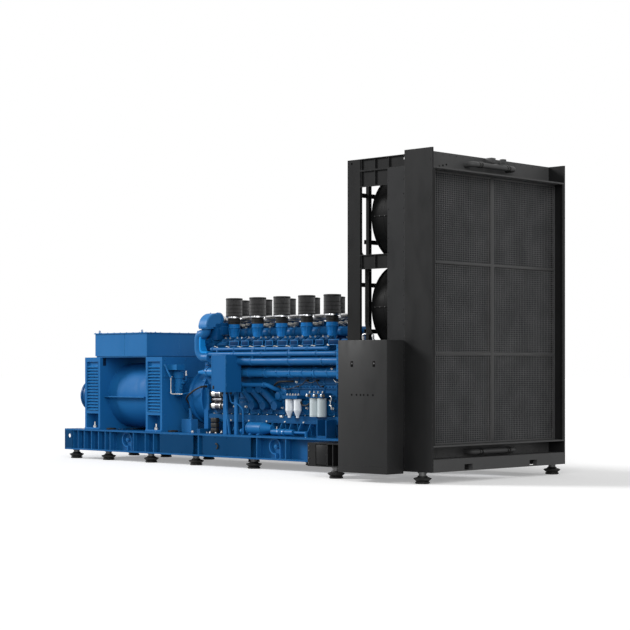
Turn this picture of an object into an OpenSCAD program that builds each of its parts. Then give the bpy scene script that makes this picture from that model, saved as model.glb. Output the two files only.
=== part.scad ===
/* [Base frame] */
// Height of a foot, from the floor to the base frame
foot_h = 150; // [120:5:200]
// Height of the base frame's rails
rail_h = 345; // [300:5:420]
// Width of a rail's flanges
flange_w = 300; // [260:10:340]
// Thickness of a rail's flanges
flange_t = 24; // [16:1:32]
// Thickness of a rail's web and of its ribs
web_t = 16; // [10:1:24]
// Width over the outer edges of the two rails
base_w = 1540; // [1480:20:1700]
// Thickness of the deck plates between the rails
deck_t = 12; // [8:1:20]

/* [Lengths along the set] */
// From the base frame's rear end to the alternator
rear_margin = 455; // [380:5:600]
// Length of each end housing of the alternator
end_housing_l = 395; // [340:5:460]
// Length of the stator between its end housings
stator_l = 1160; // [1000:10:1400]
// Length of the flywheel housing
bell_l = 750; // [680:10:900]
// Pitch of the cylinders along each bank
cylinder_pitch = 260; // [240:5:300]
// Cylinders in each bank
cylinders = 10; // [6:1:10]
// Block left beyond the first and the last cylinder's pitch
block_end = 125; // [100:5:180]
// Length of the gear case at the engine's front
gear_case_l = 250; // [200:10:320]
// From the gear case to the fan frame
radiator_gap = 858; // [720:2:1050]
// Depth of the open fan frame
fan_frame_l = 722; // [640:2:900]
// Depth of the closed plenum behind the core
plenum_l = 298; // [240:2:340]
// Depth of the radiator core's frame
core_frame_l = 477; // [430:1:560]

/* [Alternator] */
// Height of the crank and shaft centre above the base frame
shaft_h = 555; // [520:5:640]
// Width of the end housings
end_housing_w = 1400; // [1240:20:1480]
// Height of the end housings
end_housing_h = 1182; // [1100:10:1300]
// Height of the open foot bay under the louvres
foot_bay_h = 262; // [200:5:300]
// Pitch of the louvre blades
louvre_pitch = 50; // [40:1:70]
// Depth of the recess that the louvres sit in
louvre_depth = 45; // [30:1:70]
// Radius of the stator's shell
stator_r = 540; // [460:5:545]
// Height of the terminal box
terminal_box_h = 380; // [300:10:460]
// Width of the terminal box
terminal_box_w = 1360; // [1100:20:1480]
// How far the exciter stands out behind the alternator
exciter_l = 690; // [500:10:760]

/* [Engine] */
// Half the angle between the cylinder banks
bank_angle = 30; // [26:1:34]
// From the crank centre to the deck, along a bank
deck_d = 660; // [640:5:700]
// Height of a cylinder head along its bank
head_h = 200; // [160:5:210]
// Height of a rocker cover along its bank
rocker_h = 140; // [110:5:150]
// Width of a cylinder head
head_w = 300; // [270:5:320]
// Width of the crankcase
crankcase_w = 690; // [620:10:730]
// Height of the oil pan
pan_h = 232; // [170:2:250]
// Pitch of the air filters
filter_pitch = 522; // [470:2:560]
// Air filters in each row
filters = 5; // [3:1:5]
// Radius of an air filter
filter_r = 122; // [100:1:126]
// Height of an air filter's body
filter_h = 265; // [200:5:340]
// Distance of a filter row from the middle of the set
filter_y = 320; // [310:2:340]

/* [Radiator] */
// Width of the radiator
radiator_w = 2888; // [2700:4:3100]
// Height of the radiator's top above the floor
radiator_top = 4355; // [4300:5:4500]
// Height of the fan frame's top above the floor
fan_frame_top = 4302; // [4240:2:4340]
// Thickness of the side channels' webs
side_t = 26; // [16:1:40]
// Height of the base channels under the radiator
radiator_base_h = 324; // [300:2:360]
// Height of the top channel
top_channel_h = 263; // [200:1:290]
// Depth of the recess in front of the top and bottom channels
recess_d = 268; // [220:2:300]
// From the radiator's front to the face of its core
face_depth = 215; // [190:5:240]
// Radius of a fan shroud
fan_r = 585; // [500:5:587]
// Distance from one row of fans to the next
fan_pitch = 1216; // [1216:2:1230]
// Height of the cross beams of the fan frame
fan_beam_h = 193; // [150:1:240]
// Height of the top beam of the fan frame
fan_top_beam_h = 376; // [320:2:420]
// Width of a post of the fan frame
fan_post_w = 228; // [160:4:260]

/* [Electrical cabinet] */
// Length of the cabinet along the radiator
cabinet_l = 870; // [760:10:960]
// Depth of the cabinet
cabinet_d = 336; // [280:4:420]
// Height of the cabinet
cabinet_h = 1750; // [1500:10:1950]
// Height of the cabinet's bottom above the floor
cabinet_z = 120; // [100:5:150]

/* [Hidden] */
$fn = 48;

// Blue paint, black paint, grey coating, rubber and bright metal.
blue = [0.09, 0.37, 0.66];
black = [0.09, 0.09, 0.10];
grey = [0.32, 0.33, 0.34];
rubber = [0.05, 0.05, 0.05];
bright = [0.75, 0.76, 0.77];
white = [0.92, 0.92, 0.9];

// Stations along the set, from the base frame's rear end.
base_top = foot_h + rail_h;
shaft_z = base_top + shaft_h;
rear_housing_x = rear_margin;
stator_x = rear_housing_x + end_housing_l;
drive_housing_x = stator_x + stator_l;
bell_x = drive_housing_x + end_housing_l;
block_x = bell_x + bell_l;
block_l = cylinders * cylinder_pitch + 2 * block_end;
gear_case_x = block_x + block_l;
gear_case_end = gear_case_x + gear_case_l;
fan_frame_x = gear_case_end + radiator_gap;
plenum_x = fan_frame_x + fan_frame_l;
core_x = plenum_x + plenum_l;
front_x = core_x + core_frame_l;
housing_top = base_top + end_housing_h;

half_r = radiator_w / 2;

// Base frame.
web_y = base_w / 2 - flange_w / 2;
rail_inner_y = base_w / 2 - flange_w;
rail_end_x = core_x;
radiator_base_x = fan_frame_x - 758;
radiator_base_top = foot_h + radiator_base_h;
base_feet_x = [127, 975, 2049, 3123, 4418];
radiator_feet_x = [radiator_base_x + 508, front_x - 199];
radiator_foot_y = half_r - 40;
foot_rim_r = 118;
lug_x = [1500, 4915];
rib_x = [206, 332, 495, 686, 870, 1044, 1170, 1758, 2055, 2258, 3315, 4614, 5223];
cover_plates_x = [[0, 206], [2435, 3219], [3437, 4504]];
cross_x = [60, 975, 2049, 3123, 4418, 5700];
fork_y = [-705, 705];

// Engine section.
deck_y = deck_d * sin(bank_angle);
deck_z = shaft_z + deck_d * cos(bank_angle);
pan_rail_z = shaft_z - 328;
pan_bottom_z = max(pan_rail_z - pan_h, base_top - flange_t + deck_t + 5);
half_case = crankcase_w / 2;
head_dy = head_w / 2 * cos(bank_angle);
head_dz = head_w / 2 * sin(bank_angle);
rocker_top_z = shaft_z + (deck_d + head_h + rocker_h) * cos(bank_angle);
manifold_r = 74;
manifold_y = 122;
manifold_z = rocker_top_z + 125;
exhaust_r = 47;
exhaust_y = -manifold_y;
trunk_top_z = manifold_z + 160;
neck_h = 70;
filter_z = trunk_top_z + neck_h + 20;
exhaust_z = trunk_top_z + 54;
duct_x = block_x + 63;
duct_y = -640;
duct_r = 75;
duct_swing_r = 82;
duct_flange_x = duct_x + 2 * duct_swing_r;
elbow_end_y = duct_y + 265;
duct_end_x = duct_x + 247;
cooler_x = gear_case_end - 60;
cooler_l = 235;
near_filter_x = block_x + 512;
far_filter_x = near_filter_x - filter_pitch;

// Radiator.
fan_rows = [for (i = [0:2]) base_top + fan_pitch * (i + 0.5)];
fan_cols = [-half_r / 2, half_r / 2];
plenum_top = base_top + 3 * fan_pitch;
beam_rows = [for (i = [1, 2]) base_top + fan_pitch * i - 6];
water_pipe_r = 50;
shroud_half_w = 648;
sheet_gap = 2;
ring_x = fan_frame_x + 335;
rotor_x = ring_x + 150;
core_top = radiator_top - top_channel_h;
core_bottom = base_top;
base_front_top = core_bottom - 180;
face_x = front_x - face_depth;
recess_x = front_x - recess_d;
face_row_h = (core_top - core_bottom) / 3;
manifold_out_y = half_case + 84;
starter_z = [shaft_z - 129, shaft_z + 56];
starter_x = block_x + 150;
balance_r = 38;
balance_bend = 54;
balance_x = front_x - 130;

// The middle of the footprint: the cabinet stands out on the near side,
// the feet on the far side and the exciter at the rear.
near_reach = half_r + cabinet_d;
far_reach = radiator_foot_y + foot_rim_r;
rear_reach = exciter_l - rear_housing_x;
shift = [(rear_reach - front_x) / 2, (near_reach - far_reach) / 2, 0];

// Puts the set's own frame at the middle of its footprint.
module placed() { translate(shift) children(); }

// A box between two limits on each axis.
module span(x, y, z) {
    translate([x[0], y[0], z[0]]) cube([x[1] - x[0], y[1] - y[0], z[1] - z[0]]);
}

// A round bar along X, Y or Z.
module bar_x(x, y, z, r) { translate([x[0], y, z]) rotate([0, 90, 0]) cylinder(h = x[1] - x[0], r = r); }
module bar_y(x, y, z, r) { translate([x, y[0], z]) rotate([-90, 0, 0]) cylinder(h = y[1] - y[0], r = r); }
module bar_z(x, y, z, r) { translate([x, y, z[0]]) cylinder(h = z[1] - z[0], r = r); }

// A section drawn in Y and Z, run along X.
module along_x(x, l) { translate([x, 0, 0]) rotate([90, 0, 90]) linear_extrude(l) children(); }

// The same thing on the near and the far side.
module both_sides() {
    children();
    mirror([0, 1, 0]) children();
}

// A quarter bend of a round pipe, from its centre of curvature.
module bend(bend_r, r) { rotate_extrude(angle = 90) translate([bend_r, 0]) circle(r = r); }

// One H-section rail on the near side, with its ribs.
module rail() {
    along_x(0, rail_end_x) {
        translate([-base_w / 2, foot_h]) square([flange_w, flange_t]);
        translate([-base_w / 2, base_top - flange_t]) square([flange_w, flange_t]);
        translate([-web_y - web_t / 2, foot_h]) square([web_t, rail_h]);
    }
    for (x = rib_x)
        span([x, x + web_t], [-base_w / 2 + 12, -web_y], [foot_h + flange_t / 2, base_top - flange_t / 2]);
}

// Both rails.
module base_rails() { color(blue) placed() both_sides() rail(); }

// Box beams between the rails' webs.
module base_cross_members() {
    color(blue) placed() for (x = cross_x)
        span([x, x + 160], [-web_y + web_t / 2, web_y - web_t / 2], [foot_h + flange_t, base_top - flange_t]);
}

// Plates flush with the rails' tops, under the alternator and the engine.
module base_deck_plates() {
    color(blue) placed() {
        span([0, bell_x + 430], [-rail_inner_y, rail_inner_y],
            [base_top - flange_t, base_top - flange_t + deck_t]);
        span([block_x + 60, gear_case_end], [-rail_inner_y, rail_inner_y],
            [base_top - flange_t, base_top - flange_t + deck_t]);
    }
}

// Flush plates over the bays between the lugs.
module base_cover_plates() {
    color(blue) placed() both_sides() difference() {
        for (x = cover_plates_x)
            span(x, [-base_w / 2, -base_w / 2 + 12], [foot_h + flange_t, base_top - flange_t]);
        bar_y(127, [-base_w / 2 - 1, -base_w / 2 + 13], base_top - 116, 34);
    }
}

// Round-headed lifting plates with a boss and a hooked leg.
module lifting_lugs() {
    bowl_z = base_top - flange_t - 124;
    leg_z = foot_h + flange_t;
    color(blue) placed() both_sides() for (x = lug_x)
        translate([x, -web_y - web_t / 2, 0]) rotate([90, 0, 0]) {
            linear_extrude(44) difference() {
                union() {
                    translate([0, bowl_z]) circle(r = 120);
                    translate([10, leg_z]) square([110, bowl_z - leg_z]);
                }
                translate([0, bowl_z]) circle(r = 102);
                translate([26, leg_z - 1]) square([78, bowl_z - leg_z]);
            }
            translate([34, bowl_z, 0]) cylinder(h = 60, r = 30);
        }
}

// The place of every foot.
module foot_pads() {
    both_sides() {
        for (x = base_feet_x) translate([x, -web_y + 2, 0]) children();
        for (x = radiator_feet_x) translate([x, -radiator_foot_y, 0]) children();
    }
}

// Ribbed rubber cones.
module foot_rubbers() {
    color(rubber) placed() foot_pads() rotate_extrude() polygon([
        [0, 0], [88, 0], [96, 10], [96, 22], [80, 30], [foot_rim_r, 62], [foot_rim_r, 74],
        [70, 88], [62, 104], [20, 104], [20, 60], [0, 60]]);
}

// The steel cup, stud and nut on each foot.
module foot_studs() {
    color(grey) placed() foot_pads() {
        translate([0, 0, 60]) cylinder(h = foot_h - 60, r = 20);
        translate([0, 0, 104]) cylinder(h = foot_h - 104 - 14, r = 50);
        translate([0, 0, foot_h - 14]) cylinder(h = 14, r = 62);
    }
}

// Channels along both sides under the radiator, open outwards.
module radiator_base_side() {
    along_x(radiator_base_x, core_x - radiator_base_x) {
        translate([-half_r, foot_h]) square([240, 16]);
        translate([-half_r, radiator_base_top - 16]) square([240, 16]);
        translate([-half_r + 224, foot_h]) square([16, radiator_base_h]);
    }
    span([radiator_base_x, radiator_base_x + 152], [-half_r, -half_r + 12],
        [foot_h + 8, radiator_base_top - 8]);
    for (x = [0, 363, 468, 1130, core_x - 16 - radiator_base_x])
        span([radiator_base_x + x, radiator_base_x + x + 16], [-half_r + 4, -half_r + 230],
            [foot_h + 8, radiator_base_top - 8]);
}

module radiator_base_sides() { color(black) placed() both_sides() radiator_base_side(); }

// Front channel with two fork pockets.
module radiator_base_front() {
    color(black) placed() difference() {
        union() {
            span([front_x - 70, front_x], [-half_r + side_t, half_r - side_t], [foot_h, base_front_top]);
            span([recess_x, front_x - 69], [-half_r + side_t, half_r - side_t],
                [base_front_top - 14, base_front_top]);
        }
        for (y = fork_y) span([front_x - 71, front_x + 1], [y - 85, y + 85], [foot_h + 12, foot_h + 88]);
    }
}

// Beams from the rails out to the side channels.
module radiator_base_cross_beams() {
    color(black) placed() {
        both_sides() for (x = [radiator_base_x, fan_frame_x + 10, plenum_x - 60])
            span([x, x + 120], [-half_r + 240, -base_w / 2], [foot_h, radiator_base_top]);
        span([core_x + 60, core_x + 180], [-half_r + 160, half_r - 160], [foot_h, base_front_top]);
    }
}

// One end housing: a box with louvre recesses and open foot bays at its sides.
module end_housing(x) {
    difference() {
        span([x, x + end_housing_l], [-end_housing_w / 2, end_housing_w / 2], [base_top, housing_top]);
        both_sides() {
            span([x + 45, x + end_housing_l - 45], [-end_housing_w / 2 - 1,
                -end_housing_w / 2 + louvre_depth],
                [base_top + foot_bay_h + 45, housing_top - 70]);
            span([x + 45, x + end_housing_l - 45], [-end_housing_w / 2 - 1, -end_housing_w / 2 + 190],
                [base_top + 28, base_top + foot_bay_h]);
        }
    }
}

// The two end housings.
module alternator_housings() {
    color(blue) placed() for (x = [rear_housing_x, drive_housing_x]) end_housing(x);
}

// Louvre panels: a thin back with sloping blades.
module louvre_panel(x) {
    y0 = -end_housing_w / 2 + louvre_depth;
    z0 = base_top + foot_bay_h + 45;
    z1 = housing_top - 70;
    count = floor((z1 - z0 - 20) / louvre_pitch);
    span([x + 45, x + end_housing_l - 45], [y0 - 6, y0], [z0, z1]);
    for (i = [0:count - 1])
        translate([0, 0, z0 + 12 + i * louvre_pitch]) along_x(x + 45, end_housing_l - 90)
            polygon([[y0 - 4, 34], [y0 - 4, 26], [y0 - louvre_depth + 4, 0], [y0 - louvre_depth + 4, 8]]);
}

// Louvres in the sides of the housings.
module alternator_louvres() {
    color(blue) placed() both_sides() for (x = [rear_housing_x, drive_housing_x]) louvre_panel(x);
}

// The stator's round shell with its end rings and a rib at shaft height.
module alternator_stator() {
    color(blue) placed() {
        bar_x([stator_x, stator_x + 240], 0, shaft_z, stator_r - 14);
        bar_x([stator_x + 240, stator_x + stator_l], 0, shaft_z, stator_r);
        both_sides() span([stator_x, stator_x + stator_l - 145], [-stator_r - 80, -stator_r + 60],
            [shaft_z - 23, shaft_z - 7]);
    }
}

// Terminal box across the top of the two housings.
module terminal_box() {
    x = [rear_housing_x + 247, drive_housing_x];
    half_w = terminal_box_w / 2;
    top = housing_top + terminal_box_h;
    seam_x = x[0] + 754;
    color(blue) placed() difference() {
        union() {
            span([x[0] + 15, x[1] - 15], [15 - half_w, half_w - 15], [housing_top, housing_top + 21]);
            span(x, [-half_w, half_w], [housing_top + 20, top]);
            span([x[0] - 15, x[1] + 15], [-half_w - 15, half_w + 15], [top, top + 16]);
        }
        both_sides() span([seam_x - 4, seam_x + 4], [-half_w - 1, -half_w + 4], [housing_top, top]);
        span([x[1] - 4, x[1] + 1], [-4, 4], [housing_top, top]);
    }
}

// Bearing cover with the round exciter housing behind it.
module exciter() {
    l = exciter_l;
    color(blue) placed() translate([rear_housing_x, 0, shaft_z - 15]) rotate([0, -90, 0]) rotate_extrude()
        polygon([[0, 0], [430, 0], [430, 30], [330, 45], [330, 150], [262, 175], [262, l - 60], [275, l - 55],
            [275, l - 20], [255, l], [0, l]]);
}

// Rear end plate of the engine, above the shaft.
module rear_case() {
    along_x(block_x - 130, 130) polygon([
        [half_case, shaft_z], [half_case, deck_z - head_dz], [half_case - 20, deck_z + 110],
            [half_case - 40, deck_z + 120],
        [-half_case + 40, deck_z + 120], [-half_case + 20, deck_z + 110], [-half_case, deck_z - head_dz],
            [-half_case, shaft_z]]);
}

// Stepped bell between the alternator and the engine block, with a flat end plate.
module flywheel_housing() {
    guard_l = bell_l - 400;
    plate_x = block_x - 90;
    color(blue) placed() {
        translate([bell_x, 0, shaft_z]) rotate([0, 90, 0]) rotate_extrude() polygon([
            [0, 0], [300, 0], [300, 24], [240, 36], [240, guard_l], [450, guard_l], [450, guard_l + 45],
            [425, guard_l + 60], [425, bell_l - 150], [450, bell_l - 110], [450, bell_l - 90],
                [0, bell_l - 90]]);
        span([plate_x, block_x], [-half_case - 55, half_case + 55], [shaft_z - 490, shaft_z + 200]);
        rear_case();
    }
}

// Crankcase section: two decks over a narrow case.
module case_section() {
    polygon([
        [half_case + 45, pan_rail_z], [half_case + 45, pan_rail_z + 70], [half_case, pan_rail_z + 83],
        [half_case, deck_z - head_dz - 26], [deck_y + head_dy, deck_z - head_dz],
        [deck_y - head_dy, deck_z + head_dz], [90, deck_z - 130],
        [-90, deck_z - 130], [-deck_y + head_dy, deck_z + head_dz], [-deck_y - head_dy, deck_z - head_dz],
        [-half_case, deck_z - head_dz - 26], [-half_case, pan_rail_z + 83],
        [-half_case - 45, pan_rail_z + 70], [-half_case - 45, pan_rail_z]]);
}

// The block, from the pan rail to the decks, with the starters' flanges.
module crankcase() {
    color(blue) placed() {
        along_x(block_x, block_l) case_section();
        span([block_x + 130, starter_x], [-half_case - 170, -half_case + 1],
            [starter_z[0] - 68, starter_z[1] + 68]);
    }
}

// Oil pan with sloping sides and ribs.
module oil_pan() {
    w = half_case + 45;
    color(blue) placed() {
        along_x(block_x + 60, block_l - 60) polygon([
            [w, pan_rail_z], [w, pan_rail_z - 40], [w - 70, pan_rail_z - 60], [w - 110, pan_bottom_z],
            [-w + 110, pan_bottom_z], [-w + 70, pan_rail_z - 60], [-w, pan_rail_z - 40], [-w, pan_rail_z]]);
        both_sides() for (i = [0:cylinders])
            along_x(block_x + block_end + i * cylinder_pitch - 8, 16) polygon([
                [-w + 60, pan_rail_z - 50], [-w + 100, pan_bottom_z + 10], [-w + 40, pan_bottom_z + 30],
                    [-w + 4, pan_rail_z - 39]]);
    }
}

// Blocks under the end plate and brackets from the crankcase out to the rails.
module engine_feet() {
    color(blue) placed() both_sides() {
        span([block_x - 80, block_x - 10], [-rail_inner_y - 90, -half_case + 40], [base_top, shaft_z - 490]);
        difference() {
            span([gear_case_x - 320, gear_case_x - 120], [-rail_inner_y - 110, -half_case - 45],
                [base_top, pan_rail_z + 30]);
            span([gear_case_x - 300, gear_case_x - 140], [-rail_inner_y - 111, -half_case - 70],
                [base_top + 30, pan_rail_z + 31]);
        }
    }
}

// Inspection covers along the crankcase's sides.
module crankcase_covers() {
    color(blue) placed() both_sides() for (i = [0:cylinders - 1])
        span([block_x + block_end + i * cylinder_pitch + 25,
            block_x + block_end + (i + 1) * cylinder_pitch - 25],
            [-half_case - 22, -half_case], [pan_rail_z + 90, pan_rail_z + 300]);
}

// A row of boxes along one bank, at a distance from the crank.
module bank_row(d, h, w, gap) {
    for (i = [0:cylinders - 1])
        translate([block_x + block_end + i * cylinder_pitch + gap / 2, 0, shaft_z])
            rotate([bank_angle, 0, 0]) translate([0, -w / 2, d]) cube([cylinder_pitch - gap, w, h]);
}

// One head to a cylinder.
module cylinder_heads() { color(blue) placed() both_sides() bank_row(deck_d, head_h, head_w - 20, 20); }

// Rocker covers on the heads.
module rocker_covers() { color(blue) placed() both_sides() bank_row(deck_d + head_h, rocker_h, head_w - 60,
    64); }

// Gear case at the engine's front.
module gear_case() {
    color(blue) placed() {
        along_x(gear_case_x, gear_case_l - 60) polygon([
            [half_case + 60, pan_rail_z - 40], [half_case + 60, shaft_z + 200],
                [half_case - 40, shaft_z + 520],
            [-half_case + 40, shaft_z + 520], [-half_case - 60, shaft_z + 200],
                [-half_case - 60, pan_rail_z - 40]]);
        bar_x([gear_case_end - 60, gear_case_end], 0, shaft_z, 250);
    }
}

// Torsional damper on the crank's nose.
module crank_damper() {
    color(black) placed() {
        bar_x([gear_case_end, gear_case_end + 90], 0, shaft_z, 240);
        bar_x([gear_case_end + 90, gear_case_end + 130], 0, shaft_z, 90);
    }
}

// Cooler across the engine's front, where the outer pipes end.
module charge_air_cooler() {
    color(blue) placed() {
        span([cooler_x, cooler_x + cooler_l], [-700, 700], [shaft_z + 300, shaft_z + 780]);
        both_sides() span([cooler_x + cooler_l - 1, cooler_x + cooler_l + 30], [-660, -120],
            [shaft_z + 340, shaft_z + 740]);
    }
}

// Places of the filters: the near row starts one pitch later than the far row.
module filter_places() {
    for (i = [0:filters - 1]) {
        translate([near_filter_x + i * filter_pitch, -filter_y, 0]) children();
        translate([far_filter_x + i * filter_pitch, filter_y, 0]) children();
    }
}

// Upright air filters with their necks.
module air_filters() {
    color(black) placed() filter_places() rotate_extrude() polygon([
        [0, trunk_top_z], [62, trunk_top_z], [62, trunk_top_z + 20], [84, trunk_top_z + neck_h],
        [filter_r - 4, trunk_top_z + neck_h], [filter_r - 4, filter_z],
        [filter_r, filter_z], [filter_r, filter_z + filter_h - 10], [filter_r - 10, filter_z + filter_h],
            [0, filter_z + filter_h]]);
}

// Bright bands round the foot of each filter.
module filter_clamps() {
    color(bright) placed() filter_places() difference() {
        translate([0, 0, trunk_top_z + neck_h]) cylinder(h = 20, r = filter_r + 2);
        translate([0, 0, trunk_top_z + neck_h - 1]) cylinder(h = 22, r = filter_r - 4);
    }
}

// The room that the heads and rocker covers take up.
module bank_space() {
    both_sides() {
        bank_row(deck_d - 20, head_h + 20, head_w - 20, 0);
        bank_row(deck_d, head_h + rocker_h, head_w - 60, 0);
    }
}

// Waisted trunks that carry the filters down to the heads.
module intake_trunks() {
    foot_z = deck_z + 90;
    color(blue) placed() difference() {
        filter_places() rotate_extrude() polygon([
            [0, foot_z], [84, foot_z], [84, foot_z + 130], [66, foot_z + 160], [66, trunk_top_z - 150],
            [88, trunk_top_z - 60], [88, trunk_top_z], [0, trunk_top_z]]);
        bank_space();
        rear_case();
    }
}

// Large pipes over the valley.
module exhaust_manifolds() {
    cradle_top = manifold_z - manifold_r + 12;
    color(blue) placed() {
        both_sides() bar_x([block_x, gear_case_x + 60], -manifold_y, manifold_z, manifold_r);
        for (i = [0:2]) along_x(block_x + 290 + i * 1050, 80) polygon([
            [80, deck_z - 130], [80, cradle_top - 60], [175, cradle_top - 26], [175, cradle_top],
            [-175, cradle_top], [-175, cradle_top - 26], [-80, cradle_top - 60], [-80, deck_z - 130]]);
        for (i = [0:2]) bar_z(block_x + 330 + i * 1050, exhaust_y, [manifold_z, exhaust_z - exhaust_r], 22);
    }
}

// C-shaped ducts at the flywheel end; the near one carries the exhaust elbow.
module exhaust_duct() {
    turn_r = 150;
    foot_z = deck_z + 42;
    flange_z = trunk_top_z - 96;
    swing_z = flange_z - 2 * duct_swing_r;
    elbow_r = exhaust_z - flange_z - 22;
    color(blue) placed() {
        both_sides() translate([0, duct_y, 0]) {
            bar_x([duct_x + turn_r, duct_end_x], 0, foot_z, duct_r);
            translate([duct_x + turn_r, 0, foot_z + turn_r]) rotate([90, 0, 0]) rotate([0, 0,
                180]) bend(turn_r, duct_r);
            bar_z(duct_x, 0, [foot_z + turn_r, swing_z], duct_r);
            translate([duct_x + duct_swing_r, 0, swing_z]) rotate([90, 0, 0]) rotate([0, 0,
                90]) bend(duct_swing_r, duct_r);
            translate([duct_x + duct_swing_r, 0, flange_z]) rotate([90, 0, 0]) rotate([0, 0,
                -90]) bend(duct_swing_r, duct_r);
            bar_z(duct_flange_x, 0, [flange_z, flange_z + 22], 118);
        }
        translate([duct_flange_x, duct_y + elbow_r, flange_z + 22]) rotate([90, 0, 90]) rotate([0, 0,
            90]) bend(elbow_r, 88);
        bar_y(duct_flange_x, [duct_y + elbow_r, elbow_end_y - 30], exhaust_z, 88);
        bar_y(duct_flange_x, [elbow_end_y - 30, elbow_end_y], exhaust_z, 108);
    }
}

// Bright insulated pipe behind the near filters.
module exhaust_pipe() {
    turn_r = 80;
    color(bright) placed() {
        bar_y(duct_flange_x, [elbow_end_y, exhaust_y - turn_r], exhaust_z, exhaust_r);
        translate([duct_flange_x + turn_r, exhaust_y - turn_r, exhaust_z]) rotate([0, 0, 90]) bend(turn_r,
            exhaust_r);
        bar_x([duct_flange_x + turn_r, gear_case_x + 40], exhaust_y, exhaust_z, exhaust_r);
    }
}

// Plate that reaches out from the heads to the three pipes.
module pipe_bracket() {
    polygon([
        [-440, shaft_z + 560], [-600, shaft_z + 500], [-650, shaft_z + 560], [-680, shaft_z + 660],
        [-660, shaft_z + 750], [-630, shaft_z + 750], [-480, shaft_z + 660]]);
}

// Three pipes along the outside of each bank's heads.
module charge_air_pipes() {
    upper_z = shaft_z + 738;
    color(blue) placed() difference() {
        both_sides() {
            bar_x([block_x + 338, gear_case_x - 18], -642, upper_z, 26);
            for (x = [block_x + 1287, block_x + 2083]) bar_x([x, x + 40], -642, upper_z, 32);
            bar_x([duct_end_x, cooler_x], -655, shaft_z + 662, 35);
            bar_x([duct_end_x, cooler_x], -600, shaft_z + 556, 61);
            for (i = [1:3:cylinders - 1])
                along_x(block_x + block_end + i * cylinder_pitch + 100, 14) pipe_bracket();
        }
        bank_space();
        control_box_space();
    }
}

// Large coolant pipes under the heads.
module coolant_manifolds() {
    z = shaft_z + 386;
    color(blue) placed() both_sides() {
        translate([block_x - 175, -manifold_out_y, z]) rotate([0, 90, 0]) cylinder(h = 175, r1 = 24, r2 = 54);
        bar_x([block_x, cooler_x], -manifold_out_y, z, 70);
        for (x = [block_x + 33, block_x + 1343, block_x + 1872, block_x + 2372])
            bar_x([x, x + 24], -manifold_out_y, z, 79);
        for (i = [0:2:cylinders - 1])
            bar_y(block_x + block_end + (i + 0.5) * cylinder_pitch, [-manifold_out_y, -half_case], z, 34);
    }
}

// Pipes from the engine's front up to the radiator's top and bottom.
module coolant_risers() {
    r = water_pipe_r;
    riser_x = fan_frame_x - 150;
    gear_face_x = gear_case_end - 60;
    top_z = plenum_top + 6 + r + 2;
    pump_y = 330;
    swing = pump_y / 2;
    swing_x = gear_case_end + 180;
    color(blue) placed() {
        bar_x([cooler_x + cooler_l, riser_x - 130], 0, shaft_z + 420, r);
        translate([riser_x - 130, 0, shaft_z + 550]) rotate([90, 0, 0]) rotate([0, 0, -90]) bend(130, r);
        bar_z(riser_x, 0, [shaft_z + 550, top_z - 130], r);
        translate([riser_x + 130, 0, top_z - 130]) rotate([90, 0, 0]) rotate([0, 0, 90]) bend(130, r);
        bar_x([riser_x + 130, core_x], 0, top_z, r);
        bar_x([gear_face_x, swing_x], pump_y, shaft_z + 100, r);
        translate([swing_x, pump_y - swing, shaft_z + 100]) bend(swing, r);
        translate([swing_x + 2 * swing, swing, shaft_z + 100]) rotate([0, 0, 180]) bend(swing, r);
        bar_x([swing_x + 2 * swing, core_x + 60], 0, shaft_z + 100, r);
    }
}

// Heads that the fuel and oil filters hang from.
module filter_heads() {
    color(blue) placed() {
        span([block_x + 1785, block_x + 2085], [-half_case - 190, -half_case], [shaft_z, shaft_z + 50]);
        span([block_x + 2285, block_x + 2602], [-half_case - 190, -half_case], [shaft_z + 20, shaft_z + 87]);
    }
}

// Spin-on fuel filters.
module fuel_filters() {
    color(white) placed() for (i = [0, 1])
        translate([block_x + 1850 + i * 172, -half_case - 110, 0]) rotate_extrude() polygon([
            [0, shaft_z - 280], [22, shaft_z - 280], [22, shaft_z - 262], [58, shaft_z - 177],
                [58, shaft_z], [0, shaft_z]]);
}

// Oil filter canisters.
module oil_filters() {
    color(white) placed() for (i = [0, 1])
        bar_z(block_x + 2366 + i * 155, -half_case - 110, [shaft_z - 256, shaft_z + 20], 68);
}

// Starter motors beside the flywheel, with their relay between them.
module starter_motors() {
    y = -half_case - 105;
    color(bright) placed() {
        for (z = starter_z) bar_x([starter_x, starter_x + 300], y, z, 55);
        bar_x([starter_x, starter_x + 240], y, shaft_z - 35, 32);
    }
}

// Coolant heater tank with its pipe to the block.
module coolant_preheater() {
    y = -half_case - 130;
    z = base_top + 99;
    x = block_x + 1021;
    pump_z = base_top + 56;
    color(blue) placed() {
        bar_x([x, x + 312], y, z, 94);
        for (s = [x + 50, x + 232]) span([s, s + 30], [y - 60, y + 60], [base_top, z]);
        translate([x + 312, y, z]) rotate([0, 90, 0]) cylinder(h = 178, r1 = 94, r2 = 50);
        bar_x([x + 490, x + 939], y, pump_z, 45);
        for (s = [x + 640, x + 740]) bar_x([s, s + 30], y, pump_z, 54);
        bar_x([x + 939, x + 1200], y, pump_z, 20);
        bar_z(x + 1200, y, [base_top, pump_z + 24], 24);
    }
}

// Slanting pipes between round hubs on the block.
module oil_lines() {
    y = -half_case - 105;
    top_z = shaft_z + 144;
    foot_z = shaft_z - 110;
    r = 57;
    color(blue) placed() for (run = [[856, 234], [1040, 291], [1241, 338]]) {
        x = block_x + run[0];
        l = norm([run[1], top_z - foot_z]);
        translate([x, y, top_z]) rotate([0, 180 - atan2(run[1], top_z - foot_z), 0]) cylinder(h = l, r = r);
        bar_y(x, [y - r - 3, -half_case], top_z, r + 5);
        bar_y(x + run[1], [y - r - 3, -half_case - 22], foot_z, r + 5);
    }
}

// The room that the control box takes up.
module control_box_space() {
    span([block_x + 602, block_x + 923], [-half_case - 535, -half_case - 215],
        [base_top + 645, base_top + 1208]);
}

// Engine control box.
module control_box() { color(blue) placed() control_box_space(); }

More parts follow.
